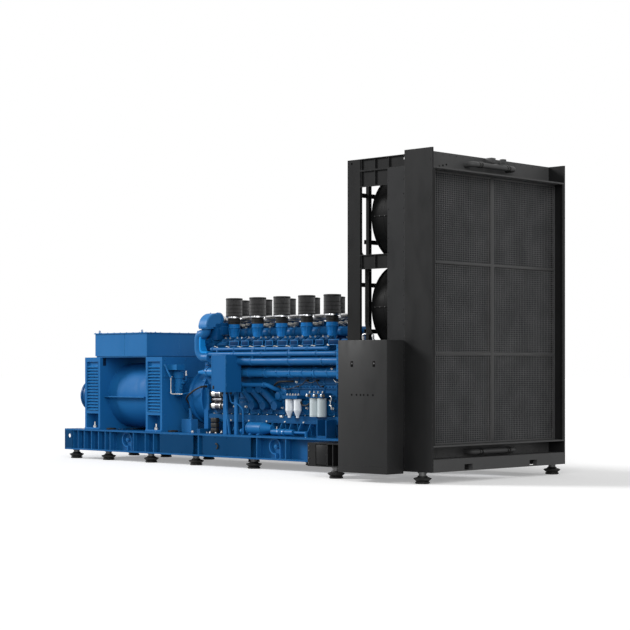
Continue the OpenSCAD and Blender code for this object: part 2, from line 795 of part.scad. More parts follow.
// Its two posts.
module control_box_stand() {
    color(blue) placed() for (x = [[518, 591], [767, 818]])
        span([block_x + x[0], block_x + x[1]], [-half_case - 215, -half_case - 180],
            [base_top, base_top + 1020]);
}

// Round separator and a small box on the alternator.
module breather_unit() {
    cover_x = bell_x + 92;
    color(blue) placed() {
        translate([cover_x, -427, base_top]) rotate_extrude() polygon([
            [0, 565], [40, 565], [66, 590], [70, 845], [86, 850], [86, 950], [70, 962], [0, 962]]);
        span([bell_x, cover_x], [-440, -414], [base_top + 640, base_top + 900]);
        span([bell_x, bell_x + 233], [-600, -430], [base_top + 979, base_top + 1059]);
    }
}

// Box between the rails, and its cable gland.
module sensor_box() {
    color(blue) placed() {
        span([bell_x + 193, bell_x + 423], [-460, -320], [base_top - deck_t, base_top + 205]);
        bar_z(bell_x + 301, -365, [base_top + 205, base_top + 367], 28);
    }
}

// Points of a smooth curve through a list of points.
function curve(p, steps) = [
    for (i = [0:len(p) - 2], k = [0:steps - 1])
        let (t = k / steps, a = p[max(i - 1, 0)], b = p[i], c = p[i + 1], d = p[min(i + 2, len(p) - 1)])
            0.5 * (2 * b + (c - a) * t + (2 * a - 5 * b + 4 * c - d) * t * t + (3 * b - a - 3 * c + d) * t * t * t),
    p[len(p) - 1]];

// A round tube swept along a list of points, as one closed skin.
module sweep(p, r, sides) {
    n = len(p);
    function along(i) = let (v = p[min(i + 1, n - 1)] - p[max(i - 1, 0)]) v / norm(v);
    function across(i) = let (v = cross(along(i), [0.2, 1, 0])) v / norm(v);
    rings = [for (i = [0:n - 1], k = [0:sides - 1])
        let (u = across(i), v = cross(along(i), u),
            a = 360 * k / sides) p[i] + r * (cos(a) * u + sin(a) * v)];
    walls = [for (i = [0:n - 2], k = [0:sides - 1], half = [0, 1])
        let (a = i * sides + k, b = i * sides + (k + 1) % sides)
            half == 0 ? [a, a + sides, b] : [b, a + sides, b + sides]];
    ends = [[for (k = [0:sides - 1]) k], [for (k = [0:sides - 1]) n * sides - 1 - k]];
    polyhedron(rings, concat(walls, ends));
}

// Cable from the gland up to the flywheel housing.
module sensor_cable() {
    x = bell_x + 301;
    color(black) placed() sweep(curve([
        [x, -365, base_top + 367], [x, -375, base_top + 420], [x + 4, -428, base_top + 480],
            [x + 30, -478, base_top + 535],
        [x + 120, -494, base_top + 600], [x + 230, -490, base_top + 660], [x + 330, -470, base_top + 705],
        [x + 395, -448, base_top + 722], [x + 415, -402, base_top + 722]], 3), 14, 8);
}

// Posts of the fan frame, at its engine-side corners.
module fan_frame_posts() {
    color(black) placed() both_sides() difference() {
        union() {
            span([fan_frame_x, fan_frame_x + fan_post_w], [-half_r, -half_r + 40],
                [radiator_base_top, fan_frame_top]);
            span([fan_frame_x, fan_frame_x + 40], [-half_r + 40, -half_r + 110],
                [radiator_base_top, fan_frame_top]);
        }
        bar_y(fan_frame_x + 78, [-half_r - 1, -half_r + 41], fan_frame_top - 51, 16);
    }
}

// Bars across the engine side, two to each row of fans.
module fan_support_bars() {
    color(black) placed() for (z = fan_rows, s = [-315, 315])
        span([fan_frame_x, fan_frame_x + 40], [-half_r + 110, half_r - 110], [z + s - 30, z + s + 30]);
}

// Upright channels behind the cross bars.
module fan_uprights() {
    color(black) placed() both_sides() for (y = [1090, 400])
        span([fan_frame_x + 40, fan_frame_x + 90], [-y - 30, -y + 30],
            [radiator_base_top, fan_frame_top - 40]);
}

// A side beam of the fan frame, open outwards, with ribs across it.
module side_beam(x, z, ribs) {
    y = -half_r + 24;
    span(x, [y, y + 10], z);
    for (s = [z[0], z[1] - 10]) span(x, [-half_r, y + 1], [s, s + 10]);
    for (r = ribs) span([r, r + 10], [-half_r + 3, y + 1], [z[0] + 5, z[1] - 5]);
}

// Beams along the sides and across the engine side of the fan frame.
module fan_frame_beams() {
    x0 = fan_frame_x + fan_post_w;
    ribs = [x0 + 13, x0 + 261];
    color(black) placed() {
        both_sides() difference() {
            union() {
                side_beam([x0, core_x], [plenum_top, fan_frame_top], [x0 + 13, x0 + 261, x0 + 506]);
                side_beam([x0, plenum_x], [fan_frame_top - fan_top_beam_h, plenum_top], ribs);
                for (z = beam_rows) side_beam([x0, plenum_x], [z - fan_beam_h / 2, z + fan_beam_h / 2], ribs);
            }
            bar_y(core_x - 27, [-half_r - 1, -half_r + 35], fan_frame_top - 49, 14);
        }
        span([fan_frame_x + 40, fan_frame_x + 100], [-half_r + 40, half_r - 40],
            [fan_frame_top - 40, fan_frame_top]);
    }
}

// Square shroud panels, each with a round ring.
module fan_shrouds() {
    h = fan_pitch / 2 - sheet_gap;
    color(black) placed() for (y = fan_cols, z = fan_rows)
        difference() {
            union() {
                span([plenum_x, plenum_x + 8], [y - shroud_half_w, y + shroud_half_w], [z - h, z + h]);
                bar_x([ring_x, plenum_x + 8], y, z, fan_r + 8);
                bar_x([ring_x, ring_x + 12], y, z, fan_r + 22);
            }
            bar_x([ring_x - 1, plenum_x + 9], y, z, fan_r);
        }
}

// Hubs with six flat blades.
module fan_rotors() {
    color(grey) placed() for (y = fan_cols, z = fan_rows)
        translate([rotor_x, y, z]) {
            rotate([0, 90, 0]) cylinder(h = 150, r = 130);
            for (a = [0:60:300]) rotate([a, 0, 0]) translate([75, 0, 120]) rotate([0, 0, 35])
                translate([-5, -75, 0]) cube([10, 150, fan_r - 145]);
        }
}

// Fan motors on their mounting plates.
module fan_motors() {
    color(black) placed() for (y = fan_cols, z = fan_rows) {
        span([fan_frame_x + 40, fan_frame_x + 52], [y - 110, y + 110], [z - 345, z + 345]);
        bar_x([fan_frame_x + 52, rotor_x - 40], y, z, 115);
        bar_x([rotor_x - 40, rotor_x], y, z, 30);
    }
}

// Side panels of the closed plenum.
module plenum_side_panels() {
    color(black) placed() both_sides() difference() {
        span([plenum_x, core_x], [-half_r, -fan_cols[1] - shroud_half_w], [radiator_base_top, plenum_top]);
        span([plenum_x + 8, core_x + 1], [-half_r + side_t, -fan_cols[1] - shroud_half_w + 1],
            [radiator_base_top - 1, plenum_top + 1]);
    }
}

// Top sheet of the plenum, and the strip between the shrouds.
module plenum_covers() {
    w = fan_cols[1] - shroud_half_w;
    color(black) placed() {
        span([plenum_x, core_x], [-half_r + 34, half_r - 34], [plenum_top, plenum_top + 6]);
        difference() {
            span([plenum_x, plenum_x + 8], [-w, w], [base_top, plenum_top - sheet_gap]);
            bar_x([plenum_x - 1, plenum_x + 9], 0, shaft_z + 100, water_pipe_r);
        }
    }
}

// The block of tubes and fins.
module radiator_core() {
    color(grey) placed()
        span([core_x + 60, face_x], [-half_r + 60, half_r - 60], [core_bottom, core_top]);
}

// Side channels of the core's frame.
module radiator_sides() {
    color(black) placed() both_sides() {
        span([core_x, front_x], [-half_r, -half_r + side_t], [foot_h, radiator_top]);
        span([core_x, front_x - 70], [-half_r + side_t - 1, -half_r + 160], [foot_h, foot_h + 16]);
        span([front_x - 14, front_x], [-half_r + side_t - 1, -half_r + 60], [core_bottom, core_top]);
    }
}

// Top channel and bottom box of the core.
module radiator_tanks() {
    y = [-half_r + side_t, half_r - side_t];
    color(black) placed() {
        span([core_x, recess_x], y, [core_top, radiator_top]);
        span([recess_x - 1, front_x], y, [core_top, core_top + 19]);
        span([core_x, recess_x], y, [base_front_top, core_bottom]);
        span([recess_x - 1, front_x], y, [core_bottom - 19, core_bottom]);
    }
}

// Bars that hold the face of the core.
module core_face_bars() {
    color(grey) placed() {
        span([face_x, face_x + 20], [-37, 37], [core_bottom, core_top]);
        for (i = [1, 2]) span([face_x, face_x + 16], [-half_r + 60, half_r - 60],
            [core_bottom + i * face_row_h - 22, core_bottom + i * face_row_h + 22]);
    }
}

// Short pipes with bent ends in the top and the bottom recess.
module balance_pipes() {
    y = 450;
    color(black) placed() for (z = [radiator_top - 127, core_bottom - 112]) translate([balance_x, 0, z]) {
        bar_y(0, [balance_bend - y, y - balance_bend], 0, balance_r);
        both_sides() {
            translate([-balance_bend, balance_bend - y, 0]) rotate([0, 0, -90]) bend(balance_bend, balance_r);
            bar_x([recess_x - balance_x, -balance_bend], -y, 0, balance_r);
        }
    }
}

// Electrical cabinet on the side of the fan frame.
module electrical_cabinet() {
    x = fan_frame_x + 137;
    color(black) placed()
        span([x, x + cabinet_l], [-half_r - cabinet_d, -half_r], [cabinet_z, cabinet_z + cabinet_h]);
}

base_rails();
base_cross_members();
base_deck_plates();
base_cover_plates();
lifting_lugs();
foot_rubbers();
foot_studs();
radiator_base_sides();
radiator_base_front();
radiator_base_cross_beams();
alternator_housings();
alternator_louvres();
alternator_stator();
terminal_box();
exciter();
flywheel_housing();
crankcase();
oil_pan();
engine_feet();
crankcase_covers();
cylinder_heads();
rocker_covers();
gear_case();
crank_damper();
charge_air_cooler();
air_filters();
filter_clamps();
intake_trunks();
exhaust_manifolds();
exhaust_duct();
exhaust_pipe();
charge_air_pipes();
coolant_manifolds();
coolant_risers();
filter_heads();
fuel_filters();
oil_filters();
starter_motors();
coolant_preheater();
oil_lines();
control_box();
control_box_stand();
breather_unit();
sensor_box();
sensor_cable();
fan_frame_posts();
fan_support_bars();
fan_uprights();
fan_frame_beams();
fan_shrouds();
fan_rotors();
fan_motors();
plenum_side_panels();
plenum_covers();
radiator_core();
radiator_sides();
radiator_tanks();
core_face_bars();
balance_pipes();
electrical_cabinet();
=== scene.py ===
import math
from itertools import product

import bmesh
import bpy
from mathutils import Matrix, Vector


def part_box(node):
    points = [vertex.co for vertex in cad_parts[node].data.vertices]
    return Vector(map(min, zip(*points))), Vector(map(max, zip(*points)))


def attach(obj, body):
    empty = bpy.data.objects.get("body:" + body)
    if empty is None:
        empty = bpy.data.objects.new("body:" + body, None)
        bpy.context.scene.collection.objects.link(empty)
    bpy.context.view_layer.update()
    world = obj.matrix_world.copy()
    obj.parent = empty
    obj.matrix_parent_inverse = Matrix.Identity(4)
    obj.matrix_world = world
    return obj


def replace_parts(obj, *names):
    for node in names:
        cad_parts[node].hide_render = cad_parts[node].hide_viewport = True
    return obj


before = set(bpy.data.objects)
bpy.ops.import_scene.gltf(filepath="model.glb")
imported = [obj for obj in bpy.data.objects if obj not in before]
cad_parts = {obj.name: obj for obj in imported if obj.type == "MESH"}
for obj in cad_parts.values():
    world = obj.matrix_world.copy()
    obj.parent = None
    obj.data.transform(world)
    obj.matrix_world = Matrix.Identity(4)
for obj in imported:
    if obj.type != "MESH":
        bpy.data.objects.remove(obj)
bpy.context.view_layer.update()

# -------- camera
# It stands at eye height off the radiator's near corner and looks level along
# the set, with the lens raised a little so that uprights stay upright.
scene = bpy.context.scene
camera = bpy.data.objects.new("camera", bpy.data.cameras.new("camera"))
camera.location = (18.5985, -18.013, 1.500)
camera.rotation_euler = (math.radians(90), 0, math.radians(44.286))
camera.data.sensor_width = 36
camera.data.lens = 96.9
camera.data.shift_y = 0.0845
camera.data.clip_end = 300
scene.collection.objects.link(camera)
scene.camera = camera

# -------- base frame
# Two welded H-section rails with cross beams and deck plates between them,
# sprayed after welding with one coat of semi-gloss blue enamel.


def wire(mat, source, output, target, socket):
    """Joins one shader node's output to another's socket."""
    mat.node_tree.links.new(source.outputs[output], target.inputs[socket])


def new_node(mat, kind, values=None, **settings):
    """Adds a shader node, with the values of its sockets and its settings."""
    node = mat.node_tree.nodes.new("ShaderNode" + kind)
    for setting, value in settings.items():
        setattr(node, setting, value)
    for socket, value in (values or {}).items():
        node.inputs[socket].default_value = value
    return node


def new_finish(name, metal=0.0, specular=0.5, rough=0.5):
    """Starts a material with one plain shader."""
    mat = bpy.data.materials.new(name)
    mat.use_nodes = True
    mat.node_tree.nodes.clear()
    shader = new_node(mat, "BsdfPrincipled", {
        "Metallic": metal, "Specular IOR Level": specular, "Roughness": rough})
    wire(mat, shader, "BSDF", new_node(mat, "OutputMaterial"), "Surface")
    return mat, shader


def grain(mat, scale, detail=3.0, stretch=(1, 1, 1)):
    """A cloudy pattern that keeps to the piece."""
    place = new_node(mat, "TexCoord")
    fit = new_node(mat, "Mapping", {"Scale": stretch})
    noise = new_node(mat, "TexNoise", {"Scale": scale, "Detail": detail})
    wire(mat, place, "Object", fit, "Vector")
    wire(mat, fit, "Vector", noise, "Vector")
    return noise


def spread(mat, source, output, low, high, span=(0.35, 0.65)):
    """Turns a pattern into a run between two colours."""
    ramp = new_node(mat, "ValToRGB")
    for stop, place, colour in zip(ramp.color_ramp.elements, span, (low, high)):
        stop.position = place
        stop.color = (*colour, 1)
    wire(mat, source, output, ramp, "Fac")
    return ramp


def cloud(mat, shader, socket, noise, low, high, span=(0.35, 0.65)):
    """Lets a socket wander between two values or two colours with a grain."""
    if not isinstance(low, tuple):
        low, high = (low,) * 3, (high,) * 3
    wire(mat, spread(mat, noise, "Fac", low, high, span), "Color", shader, socket)


def wear_and_highlight_edges(mat, width, spots):
    """Comes to 1 along sharp edges, broken up by a pattern of spots: the mask of paler edges,
    partly wear and partly a painted highlight.
    """
    rounded = new_node(mat, "Bevel", {"Radius": width}, samples=3)
    turn = new_node(mat, "VectorMath", operation="DOT_PRODUCT")
    wire(mat, rounded, "Normal", turn, 0)
    wire(mat, new_node(mat, "NewGeometry"), "Normal", turn, 1)
    edge = spread(mat, turn, "Value", (1, 1, 1), (0, 0, 0), (0.82, 0.97))
    chip = spread(mat, spots, "Fac", (0, 0, 0), (1, 1, 1), (0.40, 0.60))
    wear_and_highlight = new_node(mat, "Math", operation="MULTIPLY")
    wire(mat, edge, "Color", wear_and_highlight, 0)
    wire(mat, chip, "Color", wear_and_highlight, 1)
    return wear_and_highlight


def bumpy(mat, shader, source, output, strength, depth):
    """Roughens the skin with a pattern."""
    bump = new_node(mat, "Bump", {"Strength": strength, "Distance": depth})
    wire(mat, source, output, bump, "Height")
    wire(mat, bump, "Normal", shader, "Normal")


def enamel(name, colour, faded, edge, gloss=(0.28, 0.42), specular=0.09, skin=0.22):
    """Sprayed paint: cloudy tone, orange-peel skin, uneven gloss, and paler edges that are partly
    wear and partly a painted highlight.
    """
    mat, shader = new_finish(name, specular=specular)
    tone = spread(mat, grain(mat, 1.3, 5), "Fac", colour, faded, (0.3, 0.72))
    paint = new_node(mat, "Mix", data_type="RGBA")
    # paler colour along the edges: partly wear, partly a painted highlight
    wire(mat, wear_and_highlight_edges(mat, 0.006, grain(mat, 23.0, 6)), 0, paint, 0)
    wire(mat, tone, "Color", paint, 6)
    paint.inputs[7].default_value = (*edge, 1)
    wire(mat, paint, 2, shader, "Base Color")
    cloud(mat, shader, "Roughness", grain(mat, 6.0, 6, (1, 1, 0.35)), *gloss)
    bumpy(mat, shader, grain(mat, 190.0, 2), "Fac", skin, 0.0008)
    return mat


def dress(mat, *names):
    """Puts a material on pieces of the CAD model."""
    for name in names:
        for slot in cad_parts[name].material_slots:
            slot.material = mat


frame_blue = enamel("frame_blue_enamel", (0.006, 0.086, 0.245), (0.010, 0.100, 0.275),
                    (0.05, 0.22, 0.46))
dress(frame_blue, "base_rails", "base_cross_members", "base_deck_plates")

rails_low, rails_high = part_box("base_rails")


def at(along, across, up):
    """A place in millimetres from the base frame's rear end, the crank's line and the floor."""
    return Vector((
        rails_low.x + along / 1000,
        (rails_low.y + rails_high.y) / 2 + across / 1000,
        up / 1000,
    ))


def round_edges(shape, made, ease):
    """Eases every edge of what was just made."""
    edges = list({e for v in made for e in v.link_edges})
    bmesh.ops.bevel(shape, geom=edges, offset=ease, segments=2, profile=0.5, affect="EDGES")


def add_block(shape, low, high, ease=0.003):
    made = bmesh.ops.create_cube(shape, size=1.0)["verts"]
    bmesh.ops.scale(shape, vec=high - low, verts=made)
    bmesh.ops.translate(shape, vec=(high + low) / 2, verts=made)
    if ease:
        round_edges(shape, made, ease)


def add_plate(shape, along, across, up, ease=0.003):
    """A block between three pairs of places in millimetres."""
    add_block(shape, *(at(*corner) for corner in zip(along, across, up)), ease)


def join_rings(shape, rings):
    """Skins a row of closed rings, and closes both ends."""
    for low, high in zip(rings, rings[1:]):
        for k in range(len(low)):
            n = (k + 1) % len(low)
            shape.faces.new((low[k], low[n], high[n], high[k]))
    shape.faces.new(list(reversed(rings[0])))
    shape.faces.new(rings[-1])


def add_lathe(shape, centre, axis, outline, sides=24):
    """Turns an outline of (along, radius) pairs, in millimetres, round an axis."""
    turn = Vector((0, 0, 1)).rotation_difference(Vector(axis).normalized()).to_matrix()
    angles = [2 * math.pi * k / sides for k in range(sides)]
    join_rings(shape, [
        [shape.verts.new(centre + turn @ (Vector((r * math.cos(a), r * math.sin(a), along)) / 1000))
         for a in angles] for along, r in outline])


def add_bolt(shape, centre, axis, across):
    """A hexagon head on its washer, standing on a face."""
    half = across / 2
    add_lathe(shape, centre, axis, [(-2, half * 1.25), (across * 0.1, half * 1.25)], 12)
    add_lathe(shape, centre, axis, [
        (0, half * 1.08), (across * 0.5, half * 1.08), (across * 0.58, half * 0.9)], 6)


def fit_piece(name, shape, mat):
    """Makes the shape one piece that is fixed to the set."""
    mesh = bpy.data.meshes.new(name)
    bmesh.ops.recalc_face_normals(shape, faces=shape.faces)
    shape.to_mesh(mesh)
    shape.free()
    mesh.shade_smooth()
    mesh.set_sharp_from_angle(angle=math.radians(35))
    piece = bpy.data.objects.new(name, mesh)
    scene.collection.objects.link(piece)
    mesh.materials.append(mat)
    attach(piece, "root")
    return piece


BOTH = (-1, 1)  # the near side and the far side of the crank's line

# fillet welds where the ribs and end plates meet the rails' webs
web_off, weld_up = 690, (176, 469)
rib_places = (206, 332, 495, 686, 870, 1044, 1170, 1758, 2055, 2258, 3315, 4614, 5223)
welds = bmesh.new()
for side, place, corner in product(BOTH, rib_places, (-3, 19)):
    edge, web = place + corner, side * web_off
    add_plate(welds, (edge - 4, edge + 4), (web - 6, web + 6), weld_up, 0.002)
fit_piece("rib_welds", welds, frame_blue)

# -------- cover plates
# Flush steel plates screwed over some bays of the rails, their darker blue painted
# shade; a loop of black cable hangs in the hand hole of one of them.
# a darker copy of the frame's blue: painted shade in the bays
plate_painted_shade_blue = enamel("plate_painted_shade_blue_enamel", (0.002, 0.040, 0.115), (0.003, 0.047, 0.132),
                    (0.02, 0.12, 0.30), specular=0.04)
dress(plate_painted_shade_blue, "base_cover_plates")


def metal(name, colour, rough=(0.24, 0.4), brushed=(1, 1, 14)):
    """Bare or plated metal with fine brushing and stains."""
    mat, shader = new_finish(name, metal=1.0, specular=0.5)
    darker = tuple(0.72 * c for c in colour)
    cloud(mat, shader, "Base Color", grain(mat, 9.0, 5), darker, colour, (0.25, 0.6))
    lines = grain(mat, 60.0, 4, brushed)
    cloud(mat, shader, "Roughness", lines, *rough)
    bumpy(mat, shader, lines, "Fac", 0.15, 0.0006)
    return mat


plated = metal("zinc_plate", (0.58, 0.58, 0.56))


def add_side_bolts(shape, alongs, off, ups, size):
    """The same rows of bolts on the near side and the far side, facing out."""
    for side, along, up in product(BOTH, alongs, ups):
        add_bolt(shape, at(along, side * off, up), (0, side, 0), size)


flange_off, screw_inset = 770, 22
plate_screws = bmesh.new()
for start, end in ((0, 206), (2435, 3219), (3437, 4504)):
    steps = max(1, round((end - start) / 260))
    pitch = (end - start - 2 * screw_inset) / steps
    add_side_bolts(plate_screws, [start + screw_inset + pitch * k for k in range(steps + 1)],
                   flange_off, (196, 449), 14)
fit_piece("cover_plate_screws", plate_screws, plate_painted_shade_blue)


def rounded_path(points, radius, steps=5):
    """Straight runs with their corners rounded off to a radius in millimetres."""
    path = [points[0]]
    for before, corner, after in zip(points, points[1:], points[2:]):
        back, on = before - corner, after - corner
        cut = min(radius / 1000, back.length * 0.49, on.length * 0.49)
        start, end = corner + back.normalized() * cut, corner + on.normalized() * cut
        for k in range(steps + 1):
            t = k / steps
            path.append(start * (1 - t) ** 2 + corner * (2 * t * (1 - t)) + end * t ** 2)
    path.append(points[-1])
    return path


def add_tube(shape, path, radius, sides=12):
    """A closed round tube along a path; the radius is in millimetres."""
    across, rings = None, []
    angles = [2 * math.pi * k / sides for k in range(sides)]
    for i, here in enumerate(path):
        along = (path[min(i + 1, len(path) - 1)] - path[max(i - 1, 0)]).normalized()
        across = across or along.orthogonal().normalized()
        across = (across - along * across.dot(along)).normalized()
        other = along.cross(across)
        rings.append([
            shape.verts.new(here + radius / 1000 * (math.cos(a) * across + math.sin(a) * other))
            for a in angles])
    join_rings(shape, rings)


def add_pipe(shape, places, bend, radius):
    """A pipe through places in millimetres, bent to one radius."""
    add_tube(shape, rounded_path([at(*place) for place in places], bend), radius)


rubber_black, rubber_shader = new_finish("black_rubber", specular=0.2)
cloud(rubber_black, rubber_shader, "Base Color", grain(rubber_black, 14, 6),
      (0.008, 0.008, 0.008), (0.022, 0.022, 0.021))
cloud(rubber_black, rubber_shader, "Roughness", grain(rubber_black, 40, 4), 0.45, 0.7)
bumpy(rubber_black, rubber_shader, grain(rubber_black, 320, 2), "Fac", 0.3, 0.0006)

hand_loops = bmesh.new()
for side in BOTH:
    add_pipe(hand_loops, [
        (3735, side * 768, 350), (3760, side * 783, 362), (3800, side * 783, 330),
        (3790, side * 783, 290), (3755, side * 768, 280)], 20, 11)
fit_piece("hand_hole_loops", hand_loops, rubber_black)

# -------- lifting lugs
# Flame-cut plates with a round head and a hooked leg, welded to the rails'
# webs, each with a turned boss and a locking nut.
lug_blue = enamel("lug_blue_enamel", (0.012, 0.120, 0.330), (0.018, 0.140, 0.370),
                  (0.07, 0.28, 0.52))
dress(lug_blue, "lifting_lugs")
lug_nuts = bmesh.new()
for side, place in product(BOTH, (1534, 4949)):
    add_lathe(lug_nuts, at(place, side * 688, 347), (0, side, 0), [(-4, 19), (4, 19), (9, 13)], 6)
fit_piece("lug_boss_nuts", lug_nuts, lug_blue)

# -------- feet
# Machine mounts: a ribbed rubber cone under a steel cup, carried on a threaded
# stud with a lock nut, so that the set can be levelled.
dress(rubber_black, "foot_rubbers")
UP = (0, 0, 1)
foot_steel = metal("dull_steel", (0.10, 0.10, 0.10), (0.35, 0.55))
dress(foot_steel, "foot_studs")


def add_bolt_circle(shape, centre, axis, radius, count, size, first=0.5):
    """Bolts evenly round a circle, the first a share of a step past its start."""
    level = Vector((0, 1, 0) if axis[0] else (1, 0, 0))
    over = Vector((0, 1, 0) if axis[2] else (0, 0, 1))
    for k in range(count):
        a = 2 * math.pi * (k + first) / count
        spot = centre + (level * math.cos(a) + over * math.sin(a)) * radius / 1000
        add_bolt(shape, spot, axis, size)


def add_band(shape, centre, axis, reach, radius, proud, slope=0, sides=28):
    """A raised ring round a pipe or a can, with square or sloping shoulders."""
    add_lathe(shape, centre, axis, [(-reach, radius), (slope - reach, radius + proud),
                                    (reach - slope, radius + proud), (reach, radius)], sides)


foot_places = list(product((127, 975, 2049, 3123, 4418), (-618, 618)))
foot_places += product((6863, 8411), (-1404, 1404))
foot_trims = bmesh.new()
for along, across in foot_places:
    add_lathe(foot_trims, at(along, across, 84), UP, [
        (0, 30), (0, 62), (12, 64), (20, 56), (20, 30)], 32)
    add_band(foot_trims, at(along, across, 143), UP, 7, 24, 22, sides=6)
    add_bolt_circle(foot_trims, at(along, across, 23.5), UP, 82, 4, 11)
fit_piece("foot_cups_and_nuts", foot_trims, foot_steel)

# -------- alternator
# Two welded box housings with louvred air openings in their sides, and the
# wound stator's round shell between them, all in the same blue enamel.
set_blue = enamel("blue_enamel", (0.009, 0.118, 0.325), (0.014, 0.135, 0.365),
                  (0.07, 0.28, 0.54), gloss=(0.46, 0.62))
exciter_blue = enamel("exciter_blue_enamel", (0.004, 0.062, 0.185), (0.006, 0.072, 0.210),
                      (0.05, 0.22, 0.46))
louvre_blue = enamel("louvre_blue_enamel", (0.012, 0.130, 0.350), (0.018, 0.150, 0.390),
                     (0.07, 0.30, 0.56), skin=0.12)
dress(set_blue, "alternator_housings", "alternator_stator")
dress(exciter_blue, "exciter")
dress(louvre_blue, "alternator_louvres")


def add_side_plates(shape, along, offs, up, ease=0.003):
    """The same plate on the near side and the far side."""
    for side in BOTH:
        add_plate(shape, along, sorted(side * off for off in offs), up, ease)


housing_trim, foot_bolts = bmesh.new(), bmesh.new()
for start in (455, 2010):
    # rolled frame round the louvres and the foot bay
    for low, high, up in ((45, 350, (793, 802)), (45, 350, (1607, 1613)),
                          (39, 47, (793, 1613)), (348, 356, (793, 1613))):
        add_side_plates(housing_trim, (start + low, start + high), (696, 703), up, 0.002)
    # foot plate, with the holding-down bolts that it carries
    add_side_plates(housing_trim, (start + 4, start + 391), (512, 716), (495, 524), 0.004)
    for place, across in product((176, 318), (-628, 628)):
        centre = at(start + place, across, 523)
        add_lathe(foot_bolts, centre, UP, [(0, 34), (7, 34)], 24)
        add_lathe(foot_bolts, centre, UP, [(6, 29), (34, 29), (39, 24)], 6)
        add_lathe(foot_bolts, centre, UP, [(34, 15), (92, 15), (97, 11)], 16)
fit_piece("housing_trim", housing_trim, set_blue)
fit_piece("alternator_foot_bolts", foot_bolts, plated)

# cover seams, an inspection slot and cover screws on the housings
dark_gap, gap_shader = new_finish("dark_gap", specular=0.1, rough=0.7)
cloud(dark_gap, gap_shader, "Base Color", grain(dark_gap, 30, 3),
      (0.002, 0.012, 0.035), (0.004, 0.022, 0.06))
FRONT, REAR = (1, 0, 0), (-1, 0, 0)  # the radiator's end and the exciter's end
housing_gaps, housing_screws = bmesh.new(), bmesh.new()
add_side_plates(housing_gaps, (849, 852), (576, 640), (1540, 1665), 0.001)
add_plate(housing_gaps, (2403, 2406.5), (-690, 690), (1347, 1351), 0.0005)
for across, up in product((-640, -210, 210, 640), (1638, 1380, 1320, 760)):
    if abs(across) > 300 or up > 1300:
        add_bolt(housing_screws, at(2405, across, up), FRONT, 20)
        add_bolt(housing_screws, at(455, across * 1.02, up), REAR, 20)
fit_piece("housing_slots_and_seam", housing_gaps, dark_gap)
fit_piece("housing_screws", housing_screws, lug_blue)

# rear cover: bolt circles on the flange and the exciter's end cap
exciter_up = 1035
exciter_bolts = bmesh.new()
add_bolt_circle(exciter_bolts, at(425, 0, exciter_up), REAR, 390, 16, 24)
add_bolt_circle(exciter_bolts, at(-214, 0, exciter_up), REAR, 232, 12, 16, first=0)
fit_piece("exciter_bolts", exciter_bolts, plated)

# black discs on the deck beside the feet, where it has dark holes: they paint the shade in the
# holes
deck_hole_shade_discs = bmesh.new()
for along, across in product((969, 2508), (-560, 560)):
    add_lathe(deck_hole_shade_discs, at(along, across, 495), UP, [
        (0, 78), (18, 80), (26, 72), (26, 20), (30, 16)], 28)
fit_piece("deck_hole_shade_discs", deck_hole_shade_discs, rubber_black)

# -------- terminal box
# A folded sheet box over both housings, in two bays with a lid that overhangs
# all round; rows of screws hold the lid, and four eyes are there to lift it.
box_blue = enamel("terminal_box_blue_enamel", (0.016, 0.132, 0.345), (0.022, 0.148, 0.380),
                  (0.08, 0.30, 0.56), skin=0.10)
dress(box_blue, "terminal_box")


def add_bolts(shape, alongs, acrosses, ups, axis, size):
    """Bolts at every crossing of the places given, in millimetres."""
    for place in product(alongs, acrosses, ups):
        add_bolt(shape, at(*place), axis, size)


lid_up = 2073
box_trim = bmesh.new()
for along, across in product((717, 1800), (-600, 600)):
    eye = at(along, across, lid_up)
    add_lathe(box_trim, eye, UP, [(0, 22), (6, 22), (10, 12)], 16)
    add_tube(box_trim, [eye + Vector((0.017 * math.cos(a), 0, 0.026 + 0.017 * math.sin(a)))
                        for a in (2 * math.pi * k / 16 for k in range(17))], 6, 8)
add_bolts(box_trim, range(714, 2003, 161), (-688, 688), (lid_up,), UP, 13)
add_bolts(box_trim, (692, 2019), range(-600, 601, 200), (lid_up,), UP, 13)
fit_piece("terminal_box_eyes_and_screws", box_trim, set_blue)

# -------- crankcase breather
# A cast separator canister with a flat valve box over it, hung on the drive
# end housing, with a steel drain pipe and a slanting flat stay.
canister_blue = enamel("canister_blue_enamel", (0.008, 0.118, 0.320), (0.012, 0.138, 0.365),
                       (0.08, 0.34, 0.62), gloss=(0.34, 0.5))
dress(canister_blue, "breather_unit")
NEAR, FAR = (0, -1, 0), (0, 1, 0)
canister = (2497, -427)
canister_trim = bmesh.new()
for up, *ring in ((1214, 14, 68, 6, 6), (1140, 10, 66, 5, 4), (1406, 6, 60, 31, 0)):
    add_band(canister_trim, at(*canister, up), UP, *ring, 32)
add_bolt_circle(canister_trim, at(*canister, 1456), UP, 78, 8, 13)
add_lathe(canister_trim, at(2560, -427, 1270), FRONT, [
    (0, 26), (34, 26), (40, 20), (62, 20), (66, 14)], 20)
add_lathe(canister_trim, at(2560, -455, 1180), (1, -0.4, 0), [
    (0, 18), (24, 18), (28, 13), (50, 13)], 16)
add_bolts(canister_trim, (2425, 2618), (-590, -445), (1553,), UP, 12)
fit_piece("breather_trim", canister_trim, canister_blue)

breather_stay = bmesh.new()
for across in (-656, -650):
    add_tube(breather_stay, [at(2407, across, 1556), at(2570, across, 1350)], 11, 4)
add_bolt(breather_stay, at(2416, -664, 1545), NEAR, 14)
fit_piece("breather_stay", breather_stay, louvre_blue)

